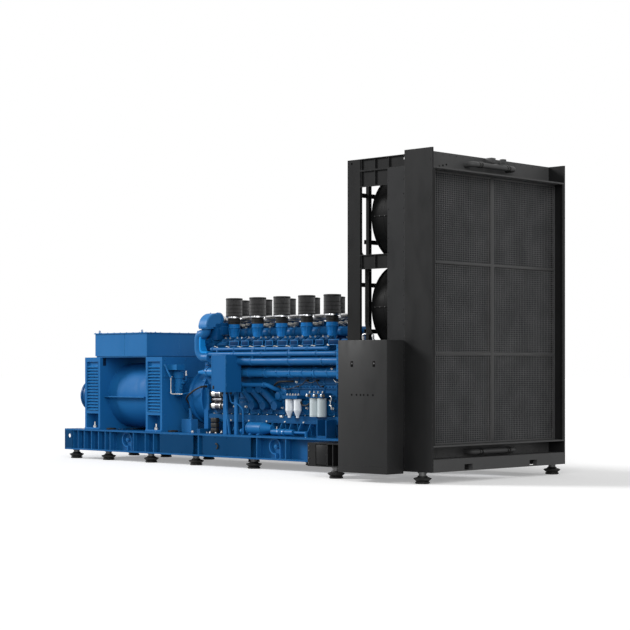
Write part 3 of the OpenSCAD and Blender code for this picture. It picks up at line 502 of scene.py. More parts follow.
drain_pipe, pipe_ends = bmesh.new(), bmesh.new()
add_pipe(drain_pipe, [(2540, -600, 1372), (2504, -600, 1345), (2504, -600, 1095),
                      (2739, -560, 1095)], 26, 8)
for place, axis in (((2504, -600, 1335), UP), ((2504, -600, 1120), UP),
                    ((2560, -590, 1095), FRONT), ((2700, -567, 1095), FRONT)):
    add_lathe(drain_pipe, at(*place), axis, [(-12, 13), (12, 13)], 6)
add_lathe(drain_pipe, at(2673, -430, 1385), UP, [
    (0, 16), (14, 16), (18, 11), (70, 11), (74, 7)], 12)
fit_piece("breather_drain_pipe", drain_pipe, plated)
add_pipe(pipe_ends, [(2673, -430, 1390), (2673, -430, 1300), (2560, -430, 1300)], 20, 9)
add_tube(pipe_ends, [at(2738, -560, 1095), at(2760, -470, 1110), at(2800, -420, 1120)], 9)
fit_piece("breather_pipe_ends", pipe_ends, canister_blue)

# -------- sensor box and cable
# A small steel junction box on the deck; its black screened cable rises in one
# free curve and is clamped to the flywheel housing.
dress(box_blue, "sensor_box")
dress(rubber_black, "sensor_cable")
box_screws, cable_clips = bmesh.new(), bmesh.new()
add_bolts(box_screws, (2612, 2814), (-460,), (520, 686), NEAR, 11)
add_lathe(box_screws, at(2706, -365, 700), UP, [
    (0, 34), (14, 34), (16, 28), (150, 28), (152, 33), (170, 33)], 6)
fit_piece("sensor_box_gland_and_screws", box_screws, louvre_blue)
add_band(cable_clips, at(3121, -409, 1217), FAR, 9, 17, 3, sides=20)
add_band(cable_clips, at(3066, -462, 1208), (0.6, 0.4, 0.5), 9, 17, 3, sides=20)
fit_piece("cable_clips", cable_clips, rubber_black)

# -------- flywheel housing
# A stepped casting that joins the engine to the alternator, with bolt circles
# on both of its flanges and a machined end plate against the block.
bell_blue = enamel("bell_blue_enamel", (0.005, 0.098, 0.285), (0.008, 0.112, 0.320),
                   (0.012, 0.150, 0.400), gloss=(0.5, 0.66))
dress(bell_blue, "flywheel_housing")
crank_up = 1050
housing_bolts = bmesh.new()
add_bolt_circle(housing_bolts, at(2757, 0, crank_up), REAR, 436, 24, 17)
add_bolt_circle(housing_bolts, at(3045, 0, crank_up), REAR, 438, 24, 17)
add_bolt_circle(housing_bolts, at(2429, 0, crank_up), FRONT, 270, 12, 22, first=0)
add_bolts(housing_bolts, (3066,), (-385, 385), range(600, 1240, 90), REAR, 20)
add_bolts(housing_bolts, (3026,), range(-300, 301, 150), (1690,), REAR, 22)
fit_piece("flywheel_housing_bolts", housing_bolts, bell_blue)

# a round window over the timing marks, turned up towards the near side; its blue, paler than the
# housing's, paints a highlight on the housing's top
window_axis = (0, -0.5, 0.86)
timing_cover_and_highlight = bmesh.new()
add_lathe(timing_cover_and_highlight, at(3020, -300, 1330), window_axis, [
    (-10, 70), (6, 70), (14, 60), (20, 24), (34, 20)], 28)
for k in range(6):
    a = math.pi * k / 3
    level, rise = math.cos(a), math.sin(a)
    spot = at(3020 + 58 * level, -312 + 50 * rise, 1335 + 28 * rise)
    add_bolt(timing_cover_and_highlight, spot, window_axis, 12)
fit_piece("timing_window_and_highlight", timing_cover_and_highlight, louvre_blue)

# -------- engine block
# One long iron casting with machined rails, painted with the rest; its crank
# doors are cast covers, each held down by a ring of bolts.
block_blue = enamel("block_blue_enamel", (0.004, 0.066, 0.190), (0.006, 0.080, 0.220),
                    (0.04, 0.20, 0.42), skin=0.5)
door_blue = enamel("crank_door_blue_enamel", (0.005, 0.080, 0.225), (0.008, 0.092, 0.255),
                   (0.05, 0.23, 0.46), skin=0.4)
dress(block_blue, "crankcase", "engine_feet", "gear_case", "cylinder_heads", "oil_pan")
dress(door_blue, "crankcase_covers")

head_pitch, first_head, block_off = 260, 3280, 340
head_starts = [first_head + head_pitch * k for k in range(10)]
head_middles = [start + head_pitch / 2 for start in head_starts]
block_ledges = bmesh.new()
for low, high, proud in ((1352, 1366, 12), (1264, 1276, 14), (1190, 1202, 16),
                         (1500, 1516, 10), (1034, 1050, 10)):
    add_side_plates(block_ledges, (3158, 6003), (block_off, 345 + proud), (low, high), 0.004)
for wall in head_starts + [head_starts[-1] + head_pitch]:
    add_side_plates(block_ledges, (wall - 9, wall + 9), (block_off, 357), (1046, 1506), 0.004)
for side, middle in product(BOTH, head_middles):
    add_lathe(block_ledges, at(middle, side * 344, 1442), (0, side, 0), [
        (0, 62), (8, 62), (14, 54), (14, 20), (20, 16)], 28)
fit_piece("block_ledges_and_ribs", block_ledges, block_blue)

door_trim, door_bolts, door_plugs = bmesh.new(), bmesh.new(), bmesh.new()
for middle in head_middles:
    rear, front = middle - 92, middle + 92
    add_side_plates(door_trim, (middle - 78, middle + 78), (366, 374), (845, 990), 0.004)
    add_side_bolts(door_bolts, (rear, middle, front), 367, (827, 1007), 15)
    add_side_bolts(door_bolts, (rear, front), 367, (917,), 15)
    add_side_bolts(door_bolts, [middle + step for step in (-100, -34, 34, 100)], 359, (1224,), 17)
for side in BOTH:
    for middle in head_middles:
        add_lathe(door_plugs, at(middle + 72, side * 372, 914), (0, side, 0), [
            (0, 20), (10, 20), (12, 15), (34, 15), (37, 11)], 16)
    add_bolts(door_plugs, range(3288, 5850, 197), (side * 384,), (801,), (0, side * 0.5, 0.8), 19)
add_side_bolts(door_plugs, range(3287, 5628, 390), 390, (702,), 22)
fit_piece("crank_door_panels", door_trim, door_blue)
fit_piece("block_bolts", door_bolts, louvre_blue)
fit_piece("bright_plugs_and_rail_bolts", door_plugs, plated)

# leaning web stiffeners along the pan's flanks
pan_ribs = bmesh.new()
rib_outline = ((88, 320, 672), (0, 287, 528), (0, 380, 546), (88, 385, 706))
for side, foot in product(BOTH, range(3290, 5691, 200)):
    join_rings(pan_ribs, [
        [pan_ribs.verts.new(at(foot + along + face, side * across, up))
         for along, across, up in rib_outline] for face in (0, 14)])
fit_piece("pan_stiffeners", pan_ribs, set_blue)

# bolts along the pan's flange, and round the gear case and its damper
pan_bolts = bmesh.new()
add_bolts(pan_bolts, range(3240, 5945, 104), (-376, 376), (681,), (0, 0, -1), 15)
add_bolts(pan_bolts, (6190,), (-380, 380), range(720, 1250, 88), FRONT, 20)
add_bolt_circle(pan_bolts, at(6254, 0, crank_up), FRONT, 215, 12, 18.1, first=0)
fit_piece("pan_and_gear_case_bolts", pan_bolts, door_blue)
dress(foot_steel, "crank_damper")

# sensors with their slack leads, and the small fuel pipes, on the block's side
black_sensors = bmesh.new()
sensors = ((4240, 1236), (4700, 1228), (5097, 1232), (5290, 1322), (5500, 1322), (5611, 1234))
for along, up in sensors:
    add_lathe(black_sensors, at(along, -345, up), NEAR, [(0, 15), (30, 15), (32, 10), (58, 10)], 6)
for start, end, drop in zip(sensors[1:], sensors[2:], (40, 26, 34, 22)):
    lead = []
    for k in range(13):
        t = k / 12
        sag = math.sin(math.pi * t)
        lead.append(at(start[0] + (end[0] - start[0]) * t, -394 - 4 * sag,
                       start[1] + (end[1] - start[1]) * t - drop * sag))
    add_tube(black_sensors, lead, 6, 8)
add_pipe(black_sensors, [(4590, -348, 1150), (4606, -408, 1175), (4640, -414, 1240),
                         (4730, -412, 1300), (4930, -410, 1306), (4985, -348, 1306)], 46, 15)
fit_piece("sensors_and_leads", black_sensors, rubber_black)

small_pipes = bmesh.new()
for top, bend in ((1098, 5886), (966, 5886), (1040, 5870)):
    add_pipe(small_pipes, [(5831, -352, top), (5831, -470, top), (bend, -478, top - 8),
                           (bend, -478, top - 70), (bend - 30, -350, top - 74)], 22, 8)
add_pipe(small_pipes, [(5850, -350, 1345), (5850, -392, 1345), (5890, -398, 1302),
                       (5930, -350, 1296)], 18, 8)
for place in ((5905, -478, 1492), (5062, -352, 1296), (4773, -394, 778), (4800, -394, 778)):
    add_lathe(small_pipes, at(*place), (0, -1, 0.3), [
        (0, 19), (8, 19), (10, 14), (26, 14), (29, 9)], 12)
fit_piece("small_steel_pipes", small_pipes, plated)

# pump and thermostat housing between the oil pipes and the fuel filters
pump = bmesh.new()
add_lathe(pump, at(4730, -340, 1085), NEAR, [
    (0, 96), (26, 96), (32, 84), (66, 78), (74, 60), (92, 56), (96, 40)], 36)
add_lathe(pump, at(4850, -340, 1150), NEAR, [(0, 62), (20, 62), (26, 50), (60, 46), (66, 30)], 28)
add_plate(pump, (4770, 4870), (-400, -343), (1120, 1215), 0.008)
add_bolt_circle(pump, at(4730, -366, 1085), NEAR, 86, 8, 15)
add_pipe(pump, [(4850, -395, 1150), (4900, -420, 1150), (4915, -420, 1075),
                (4945, -420, 1070)], 30, 14)
fit_piece("oil_pump_housing", pump, door_blue)

# -------- rocker covers
# A cast cover over each head on a rubber gasket, with a bolted rim, a round
# filler cap and a bright leak-off pipe to the next one.
# a darker blue than the block's: painted shade on the covers' tops, which the light from above
# would show bright
cover_painted_shade_blue = enamel("rocker_cover_painted_shade_blue_enamel", (0.003, 0.048, 0.140), (0.005, 0.060, 0.170),
                    (0.05, 0.22, 0.44), skin=0.5)
dress(cover_painted_shade_blue, "rocker_covers")
bank_lean = math.radians(30)
lean_sin, lean_cos = math.sin(bank_lean), math.cos(bank_lean)


def on_bank(side, along, across, out):
    """A place on a bank: across it towards the valley, and out from the crank."""
    return at(along, side * (out * lean_sin - across * lean_cos),
              crank_up + across * lean_sin + out * lean_cos)


def add_bank_plate(shape, side, along, across, out, ease=0.004):
    """A block between three pairs of places on a bank."""
    made = bmesh.ops.create_cube(shape, size=1.0)["verts"]
    for vert in made:
        vert.co = on_bank(side, *(low + (high - low) * (part + 0.5) for part, (low, high)
                                  in zip(vert.co, (along, across, out))))
    round_edges(shape, made, ease)


cover_trim, cover_bright = bmesh.new(), bmesh.new()
hexagon = [(0, 17), (9, 17), (11, 11), (24, 11)]
for side, start in product(BOTH, head_starts):
    out = (0, side * lean_sin, lean_cos)
    add_bank_plate(cover_trim, side, (start + 26, start + 234), (-126, 126), (858, 876))
    add_bank_plate(cover_trim, side, (start + 50, start + 210), (-98, 98), (996, 1012), 0.008)
    for along, across in product((42, 218), (-110, 0, 110)):
        add_bolt(cover_trim, on_bank(side, start + along, across, 876), out, 16)
    add_lathe(cover_trim, on_bank(side, start + 130, -20, 1010), out, [
        (0, 46), (8, 46), (12, 38), (26, 38), (30, 32)], 24)
    for along in (80, 182):
        add_lathe(cover_bright, on_bank(side, start + along, 62, 1011), out, hexagon, 6)
    if start < head_starts[-1]:
        leak_off = [on_bank(side, start + along, across, height) for along, across, height in (
            (214, -100, 930), (214, -128, 956), (260, -136, 984), (306, -128, 956),
            (306, -100, 930))]
        add_tube(cover_bright, rounded_path(leak_off, 24), 8, 10)
        nut = on_bank(side, start + 288, -104, 962)
        add_lathe(cover_bright, nut, out, [(-14, 17), (14, 17)], 6)

# deep pressed boxes over the injection pumps, each in a welded frame
# the boxes' near-black blue is painted shade: the dark seen behind the trunks
pump_box_painted_shade_blue = enamel("pump_box_painted_shade_blue_enamel", (0.001, 0.026, 0.090), (0.002, 0.034, 0.110),
                       (0.03, 0.15, 0.34), specular=0.05, skin=0.5)
pump_frame_blue = enamel("pump_frame_blue_enamel", (0.009, 0.118, 0.325), (0.013, 0.135, 0.360),
                         (0.07, 0.28, 0.54))
pump_shade_boxes, pump_frames = bmesh.new(), bmesh.new()
filter_pitch = 522
for side, k, (step, wide) in product(BOTH, range(5), ((0, 196), (262, 150))):
    rear = (3868 if side < 0 else 3346) + filter_pitch * k + step
    front, rim = rear + wide, sorted((side * 608, side * 596))
    add_plate(pump_shade_boxes, (rear, front), sorted((side * 604, side * 536)), (1836, 1912), 0.010)
    for up in ((1832, 1842), (1904, 1916)):
        add_plate(pump_frames, (rear - 4, front + 4), rim, up)
    for edge in (rear, front):
        add_plate(pump_frames, (edge - 5, edge + 5), rim, (1834, 1914))
fit_piece("injection_pump_shade_boxes", pump_shade_boxes, pump_box_painted_shade_blue)
fit_piece("injection_pump_frames", pump_frames, pump_frame_blue)
fit_piece("rocker_cover_rims_and_caps", cover_trim, cover_painted_shade_blue)
fit_piece("leak_off_pipes", cover_bright, plated)

# -------- intake trunks
# Cast ducts that carry each filter down to its heads, with a bolted flange at
# the foot and a rubber sleeve under the filter.
trunk_blue = enamel("trunk_blue_enamel", (0.008, 0.135, 0.390), (0.012, 0.155, 0.440),
                    (0.07, 0.30, 0.58), gloss=(0.2, 0.34))
dress(trunk_blue, "intake_trunks")
filter_places = [(start + filter_pitch * k, across)
                 for start, across in ((3667, -320), (3145, 320)) for k in range(5)]
trunk_trim, sleeves = bmesh.new(), bmesh.new()
for along, across in filter_places:
    add_lathe(trunk_trim, at(along, across, 2112), UP, [(0, 84), (4, 94), (20, 94), (24, 86)], 32)
    add_band(trunk_trim, at(along, across, 1978), UP, 12, 64, 7, 6)
    for level, over in product((-1, 1), (-1, 1)):
        rib = [at(along + level * off * math.sqrt(0.5), across + over * off * math.sqrt(0.5), up)
               for off, up in ((66, 1990), (84, 2115))]
        add_tube(trunk_trim, rib, 7, 8)
    add_lathe(sleeves, at(along, across, 2172), UP, [
        (0, 70), (2, 90), (10, 92), (18, 90), (24, 92), (32, 88), (32, 60)], 32)
fit_piece("trunk_flanges_and_ribs", trunk_trim, trunk_blue)
fit_piece("trunk_sleeves", sleeves, rubber_black)

# -------- air filters
# Round cartridges of black pleated paper behind wire mesh, with moulded end
# caps, clamped to the sleeve by a wide steel band.


def two_tone(mat, shader, pattern, low, high):
    """Mixes two colours by a pattern."""
    tone = new_node(mat, "Mix", {6: (*low, 1), 7: (*high, 1)}, data_type="RGBA")
    wire(mat, pattern, 0, tone, 0)
    wire(mat, tone, 2, shader, "Base Color")


paper, paper_shader = new_finish("pleated_paper", rough=0.34)
paper_fibre = grain(paper, 900, 3, (1, 1, 0.3))
two_tone(paper, paper_shader, paper_fibre, (0.030, 0.030, 0.031), (0.160, 0.160, 0.161))
bumpy(paper, paper_shader, paper_fibre, 0, 0.3, 0.0006)
band_steel = metal("filter_band_steel", (0.62, 0.63, 0.65), (0.16, 0.34), (1, 1, 30))
dress(band_steel, "filter_clamps")

cartridges, end_caps, collars, clamp_lips = (bmesh.new() for k in range(4))
pleats = 62
folds = [(math.pi * k / pleats, 127 if k % 2 else 114) for k in range(2 * pleats)]
for along, across in filter_places:
    low, high = ([cartridges.verts.new(at(along + r * math.cos(a), across + r * math.sin(a), up))
                  for a, r in folds] for up in (2304, 2554))
    for k in range(2 * pleats):
        cartridges.faces.new((low[k - 1], low[k], high[k], high[k - 1]))
    spot = at(along, across, 0)
    add_lathe(end_caps, spot, UP, [
        (2550, 108), (2550, 127), (2554, 130), (2567, 130), (2574, 126), (2576, 108), (2571, 98),
        (2571, 40), (2574, 34)], 48)
    for up in (2352, 2410, 2468):
        add_band(end_caps, at(along, across, up), UP, 1.6, 127, 2, sides=48)
    add_lathe(collars, spot, UP, [
        (2201, 84), (2206, 97), (2214, 97), (2218, 91), (2226, 91), (2230, 97), (2238, 97),
        (2242, 91), (2250, 91), (2254, 97), (2262, 97), (2268, 88)], 40)
    add_lathe(collars, spot, UP, [
        (2291, 104), (2291, 124), (2300, 130), (2308, 130), (2308, 104)], 48)
    for up in (2272, 2290):
        add_band(clamp_lips, at(along, across, up), UP, 2.5, 116, 5.4, sides=48)
    add_plate(clamp_lips, (along + 39, along + 71), (across - 116.5, across - 100.5), (2274, 2288))
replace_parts(fit_piece("filter_cartridges", cartridges, paper), "air_filters")
fit_piece("filter_end_caps", end_caps, rubber_black)
fit_piece("filter_collars", collars, rubber_black)
fit_piece("filter_band_lips", clamp_lips, band_steel)

# -------- exhaust manifolds
# Cast sections in each side of the valley, joined by steel bellows and clamps
# so that they can grow as they heat; cast covers run down the middle.
manifold_blue = enamel("manifold_blue_enamel", (0.010, 0.110, 0.305), (0.014, 0.125, 0.340),
                       (0.06, 0.26, 0.50), gloss=(0.32, 0.48))
valley_blue = enamel("valley_blue_enamel", (0.002, 0.052, 0.165), (0.004, 0.064, 0.195),
                     (0.05, 0.22, 0.46), skin=0.6)
dress(manifold_blue, "exhaust_manifolds")
valley_casting = bmesh.new()
for start in head_starts:
    add_plate(valley_casting, (start + 18, start + 260), (-66, 66), (2080, 2196), 0.018)
    add_plate(valley_casting, (start + 50, start + 130), (-54, 54), (2190, 2216), 0.008)
    add_bolts(valley_casting, (start + 40, start + 238), (-54, 54), (2195,), UP, 15)
fit_piece("valley_covers", valley_casting, valley_blue)

bellows, plain_joints = bmesh.new(), bmesh.new()
joint_outline = [(-26, 75), (-26, 83), (-20, 84)]
for fold in range(4):
    joint_outline += [(-16 + 9 * fold, 79), (-12 + 9 * fold, 85)]
joint_outline += [(22, 79), (24, 84), (30, 83), (30, 75)]
for across, (k, start) in product((-122, 122), enumerate(head_starts)):
    joint = at(start - 5, across, 2041)
    add_lathe(bellows if k % 2 else plain_joints, joint, FRONT, joint_outline, 36)
    if k % 2:
        add_lathe(bellows, at(start - 5, across, 2128), FRONT, [(-14, 6), (14, 6)], 6)
for along in (3744, 4275, 4800, 5298):
    add_plate(bellows, (along - 14, along + 14), (-142, -102), (2114, 2140), 0.006)
    add_lathe(bellows, at(along, -122, 2138), UP, [(0, 12), (7, 12), (9, 7), (20, 7)], 6)
for k, (step, across, up, radius) in product(range(5), (
        (0, -132, 2158, 26), (66, -140, 2146, 30), (128, -132, 2164, 24))):
    half = [(30, radius), (30, radius + 6), (22, radius + 6), (20, radius - 4), (6, radius - 4),
            (4, radius + 5)]
    add_lathe(bellows, at(3648 + filter_pitch * k + step, across, up), (1, 0.2, 0),
              [(-place, r) for place, r in half] + half[::-1], 20)
fit_piece("manifold_bellows", bellows, plated)
fit_piece("manifold_joints", plain_joints, valley_blue)

# the steel line that runs above the near manifold, with its brackets
line_steel = metal("line_steel", (0.66, 0.66, 0.66), (0.22, 0.38), (0.4, 6, 6))
dress(line_steel, "exhaust_pipe")
pipe_joints = bmesh.new()
for along in (3520, 4010, 4530, 5050, 5560):
    add_band(pipe_joints, at(along, -122, 2255), FRONT, 13, 47, 7)
    add_plate(pipe_joints, (along - 9, along + 9), (-134, -110), (2112, 2212), 0.004)
fit_piece("pipe_brackets", pipe_joints, line_steel)

# cast housings that carry the ducts into the manifolds, at the rear of each bank
turbine = bmesh.new()
add_side_plates(turbine, (3262, 3560), (470, 215), (2010, 2150), 0.022)
add_side_plates(turbine, (3300, 3530), (440, 235), (2140, 2206), 0.016)
add_side_plates(turbine, (3262, 3524), (548, 400), (1926, 2118), 0.024)
add_side_plates(turbine, (3330, 3500), (540, 420), (2090, 2186), 0.020)
for side in BOTH:
    add_lathe(turbine, at(3415, side * 470, 2080), (0, side, 0), [
        (-30, 92), (0, 92), (4, 86), (16, 86), (20, 60), (26, 30), (28, 0.1)], 36)
    add_lathe(turbine, at(3250, side * 345, 2080), FRONT, [
        (-34, 60), (-30, 76), (-8, 80), (14, 92), (20, 92)], 32)
    add_lathe(turbine, at(3320, side * 555, 1905), FRONT, [
        (-60, 50), (-60, 66), (-48, 66), (-44, 52), (60, 52), (64, 64), (78, 64), (78, 40)], 28)
    add_bolt_circle(turbine, at(3415, side * 474, 2080), (0, side, 0), 78, 8, 15)
fit_piece("turbine_housings", turbine, valley_blue)

# the cast elbow housing over the near duct, a half-round box with flat cheeks,
# and the bright heat sleeve on the pipe that leaves it
elbow_blue = enamel("elbow_blue_enamel", (0.024, 0.160, 0.400), (0.032, 0.178, 0.440),
                    (0.08, 0.30, 0.56), gloss=(0.34, 0.5))
elbow, elbow_rings = bmesh.new(), []
for along, inset in ((3286, 12), (3298, 0), (3466, 0), (3478, 12)):
    reach = 219 - inset
    outline = [(-512 - reach * math.cos(a), 2127 + reach * math.sin(a))
               for a in map(math.radians, range(0, 91, 6))]
    outline += [(-424 - inset, 2346 - inset), (-412 - inset, 2334 - inset),
                (-412 - inset, 2128 + inset)]
    elbow_rings.append([elbow.verts.new(at(along, *place)) for place in outline])
join_rings(elbow, elbow_rings)
for across, up in ((-690, 2160), (-664, 2248), (-596, 2310), (-512, 2326), (-440, 2310),
                   (-440, 2160)):
    add_bolt(elbow, at(3478, across, up), FRONT, 13)
fit_piece("elbow_housing", elbow, elbow_blue)
sleeve_steel = metal("sleeve_steel", (0.80, 0.80, 0.80), (0.30, 0.5), (4, 4, 4))
sleeve = bmesh.new()
add_lathe(sleeve, at(3382, -290, 2255), FAR, [
    (-84, 52), (-84, 60), (-70, 62), (-66, 57), (-30, 57), (-26, 62), (-18, 62), (-14, 57),
    (24, 57), (28, 62), (36, 62), (40, 57), (62, 57), (66, 61), (78, 61), (82, 52)], 40)
fit_piece("elbow_heat_sleeve", sleeve, sleeve_steel)

# bolts round the ring joint and the foot flange of the curved ducts, and pale
# strips along their flanks that paint the highlight on the ducts' inner curve
duct_blue = enamel("duct_blue_enamel", (0.014, 0.125, 0.330), (0.019, 0.140, 0.365),
                   (0.08, 0.30, 0.56), gloss=(0.32, 0.48))
# a much paler blue than the ducts': painted highlight along their lit inner curve
rim_painted_highlight_blue = enamel("duct_rim_painted_highlight_blue_enamel", (0.008, 0.240, 0.640), (0.012, 0.260, 0.680),
                  (0.03, 0.32, 0.72), gloss=(0.35, 0.5))
dress(duct_blue, "exhaust_duct")
duct_bolts, duct_rim_highlights = bmesh.new(), bmesh.new()
for side in BOTH:
    add_bolt_circle(duct_bolts, at(3218, side * 404, 2255), (0, side, 0), 99, 10, 15)
    add_bolt_circle(duct_bolts, at(3382, side * 640, 2126), UP, 106, 10, 15.1)
    line = rounded_path([at(along, side * 640, up) for along, up in (
        (3452, 1743), (3297, 1743), (3297, 1990), (3392, 2078))], 95, 8)
    strips = []
    for i, spot in enumerate(line):
        run = (line[min(i + 1, len(line) - 1)] - line[max(i - 1, 0)]).normalized()
        out, half = Vector((-run.z, 0, run.x)) * 0.016, Vector((0, 0.062, 0))
        strips.append([duct_rim_highlights.verts.new(corner) for corner in (
            spot - out - half, spot + out - half, spot + out + half, spot - out + half)])
    join_rings(duct_rim_highlights, strips)
fit_piece("duct_bolts", duct_bolts, duct_blue)
fit_piece("duct_rim_highlights", duct_rim_highlights, rim_painted_highlight_blue)

# -------- charge air pipes
# Three drawn steel pipes down each side of the engine, cut to length, coupled
# by bolted sleeves, and saddled to the block by small cast brackets.
pipe_blue = enamel("pipe_blue_enamel", (0.009, 0.108, 0.300), (0.013, 0.124, 0.335),
                   (0.08, 0.30, 0.56), gloss=(0.3, 0.45))
dress(pipe_blue, "charge_air_pipes")
pipe_trim, pipe_bolts = bmesh.new(), bmesh.new()
for off, up, radius, joints in ((642, 1788, 26, (3530, 4010, 4700, 5560, 5940)),
                                (655, 1712, 35, (3430, 4020, 4620, 5180, 5760, 6150)),
                                (600, 1606, 61, (3426, 4360, 5160, 5840, 6168))):
    half = [(17, radius), (15, radius + 7), (4, radius + 7), (3, radius + 4)]
    for along, across in product(joints, (-off, off)):
        add_lathe(pipe_trim, at(along, across, up), FRONT,
                  [(-place, r) for place, r in half] + half[::-1], 36)
        add_bolt(pipe_trim, at(along, across, up + radius + 6), UP, 14)
for along in range(4101, 6000, 256):
    add_side_plates(pipe_bolts, (along - 11, along + 11), (548, 572), (1826, 1850), 0.005)
    for side in BOTH:
        add_lathe(pipe_bolts, at(along + 26, side * 560, 1828), (0, side, 0), [
            (0, 11), (16, 11), (18, 7), (30, 7)], 6)
for along in (3874, 4091, 4679, 5090, 5536):
    add_lathe(pipe_bolts, at(along, -392, 1938), (0, -0.5, 0.86), [
        (0, 16), (8, 16), (10, 11), (28, 11), (30, 7)], 6)
add_lathe(pipe_trim, at(3265, -300, 1920), FRONT, [
    (0, 20), (4, 27), (30, 27), (34, 23), (200, 23), (204, 27), (240, 27), (260, 18)], 24)
fit_piece("pipe_couplings", pipe_trim, pipe_blue)
fit_piece("pipe_clamp_bolts", pipe_bolts, plated)

# -------- coolant manifolds
# A long cast outlet pipe along each bank, with an elbow from each head and
# bolted ring joints between its lengths.
# a paler blue than the other pipes: painted light on pipes that lie in the shade of the pipes above
coolant_painted_light_blue = enamel("coolant_pipe_painted_light_blue_enamel", (0.016, 0.175, 0.460), (0.022, 0.195, 0.500),
                      (0.09, 0.34, 0.62), gloss=(0.25, 0.4))
dress(coolant_painted_light_blue, "coolant_manifolds")
dress(block_blue, "coolant_risers")
coolant_trim, coolant_bolts = bmesh.new(), bmesh.new()
coolant_off, coolant_up, band_places = 429, 1436, (3700, 4130, 4760, 5290, 5800)
for across in (-coolant_off, coolant_off):
    for along in (3162, 4472, 5001, 5501):
        add_bolt_circle(coolant_bolts, at(along, across, coolant_up), REAR, 78, 8, 13)
    for along in band_places:
        add_band(coolant_trim, at(along, across, coolant_up), FRONT, 16, 70, 6, 2, 36)
add_side_bolts(coolant_bolts, band_places, 505, (coolant_up,), 15)
fit_piece("coolant_pipe_bands", coolant_trim, coolant_painted_light_blue)
fit_piece("coolant_pipe_bolts", coolant_bolts, louvre_blue)

# -------- oil lines
# Three thick blue hoses that slant down the side of the block between its
# steel elbows, each with two bolted clips round it.
hose_blue = enamel("hose_blue_enamel", (0.003, 0.056, 0.165), (0.005, 0.068, 0.195),
                   (0.05, 0.22, 0.44), gloss=(0.3, 0.5), skin=0.8)
dress(hose_blue, "oil_lines")
line_trim = bmesh.new()
for (top, foot), share in product(((4011, 4245), (4195, 4486), (4396, 4734)), (0.2, 0.8)):
    along, up = top + (foot - top) * share, 1194 - 254 * share
    add_band(line_trim, at(along, -450, up), (foot - top, 0, -254), 16, 57, 5, 2, 36)
    add_plate(line_trim, (along - 12, along + 12), (-524, -502), (up - 12, up + 12), 0.004)
fit_piece("oil_line_clips", line_trim, hose_blue)

# -------- filters
# Spin-on canisters with rolled seams, screwed up under cast heads: the fuel
# ones are white, the oil ones a greyer white. Plugs close the heads' ports.
fuel_white = enamel("fuel_canister_white", (0.78, 0.82, 0.86), (0.82, 0.85, 0.88),
                    (0.80, 0.82, 0.84), gloss=(0.25, 0.4), specular=0.3)
oil_white = enamel("oil_canister_white", (0.50, 0.57, 0.59), (0.56, 0.63, 0.65),
                   (0.60, 0.64, 0.66), gloss=(0.3, 0.45), specular=0.3)
dress(fuel_white, "fuel_filters")
dress(oil_white, "oil_filters")
dress(block_blue, "filter_heads")
fuel_seams, oil_seams, head_plugs, dark_seals = (bmesh.new() for k in range(4))
canister_across = -455
for alongs, radius, low, high, seams in (((5005, 5177), 58, 866, 1050, fuel_seams),
                                         ((5521, 5676), 68, 794, 1070, oil_seams)):
    for along in alongs:
        add_band(seams, at(along, canister_across, high - 19), UP, 7, radius, 3, 2, 40)
        add_lathe(seams, at(along, canister_across, low), UP, [
            (12, radius - 1), (16, radius + 1.5), (30, radius + 1.5), (34, radius - 0.5)], 40)
        add_band(dark_seals, at(along, canister_across, high), UP, 6, radius - 2, 4.5, 1, 40)
for along in (4975, 5035, 5091, 5147, 5205):
    add_lathe(head_plugs, at(along, -462, 1100), UP, [
        (0, 17), (9, 17), (12, 12), (26, 12), (30, 8)], 6)
for along in (5470, 5560, 5640, 5728):
    add_lathe(head_plugs, at(along, -492, 1137), UP, [(0, 19), (8, 19), (12, 13), (30, 13)], 6)
for along in (5452, 5598, 5745):
    add_lathe(head_plugs, at(along, -536, 1104), NEAR, [(0, 21), (9, 21), (11, 14), (20, 14)], 6)
    add_lathe(dark_seals, at(along + 46, -536, 1102), NEAR, [(0, 24), (5, 24)], 20)
add_pipe(dark_seals, [(5238, -452, 1010), (5262, -452, 965), (5300, -458, 952),
                      (5370, -458, 952), (5427, -452, 985)], 40, 13)
fit_piece("fuel_filter_seams", fuel_seams, fuel_white)
fit_piece("oil_filter_seams", oil_seams, oil_white)
fit_piece("filter_head_plugs", head_plugs, plated)
fit_piece("filter_seals_and_hose", dark_seals, rubber_black)

# -------- starters
# Two electric starters one over the other, each with a plated body, a black
# end cap and a solenoid, flanged to the housing.
starter_steel = metal("starter_plated_steel", (0.11, 0.11, 0.12), (0.3, 0.5), (20, 1, 1))
dress(starter_steel, "starter_motors")
starter_caps_leads_and_shade, starter_bolts = bmesh.new(), bmesh.new()
starter_across = -450
for up in (921, 1106):
    add_lathe(starter_caps_leads_and_shade, at(3540, starter_across, up), FRONT, [
        (0, 40), (0, 56.5), (40, 56.5), (64, 48), (68, 16)], 32)
    add_band(starter_caps_leads_and_shade, at(3326, starter_across, up), FRONT, 14, 54, 3, sides=32)
    add_bolt_circle(starter_bolts, at(3306.5, starter_across, up), FRONT, 42, 6, 12)
    add_bolt_circle(starter_bolts, at(3606, starter_across, up), FRONT, 30, 3, 9, first=0)
    add_band(starter_bolts, at(3385, starter_across, up), FRONT, 35, 54, 3.5, sides=32)
    add_band(starter_bolts, at(3527, starter_across, up), FRONT, 7, 54, 3.5, sides=32)
for up in (1004, 1028):
    add_lathe(starter_bolts, at(3545, starter_across, up), FRONT, [
        (0, 9), (6, 9), (8, 6), (26, 6)], 6)
add_pipe(starter_caps_leads_and_shade, [(3566, -450, 1004), (3625, -455, 1004), (3650, -455, 920),
                        (3650, -455, 560), (3650, -520, 515)], 40, 9)
add_pipe(starter_caps_leads_and_shade, [(3566, -450, 1028), (3640, -470, 1028), (3668, -470, 930),
                        (3668, -480, 560), (3668, -530, 515)], 40, 9)
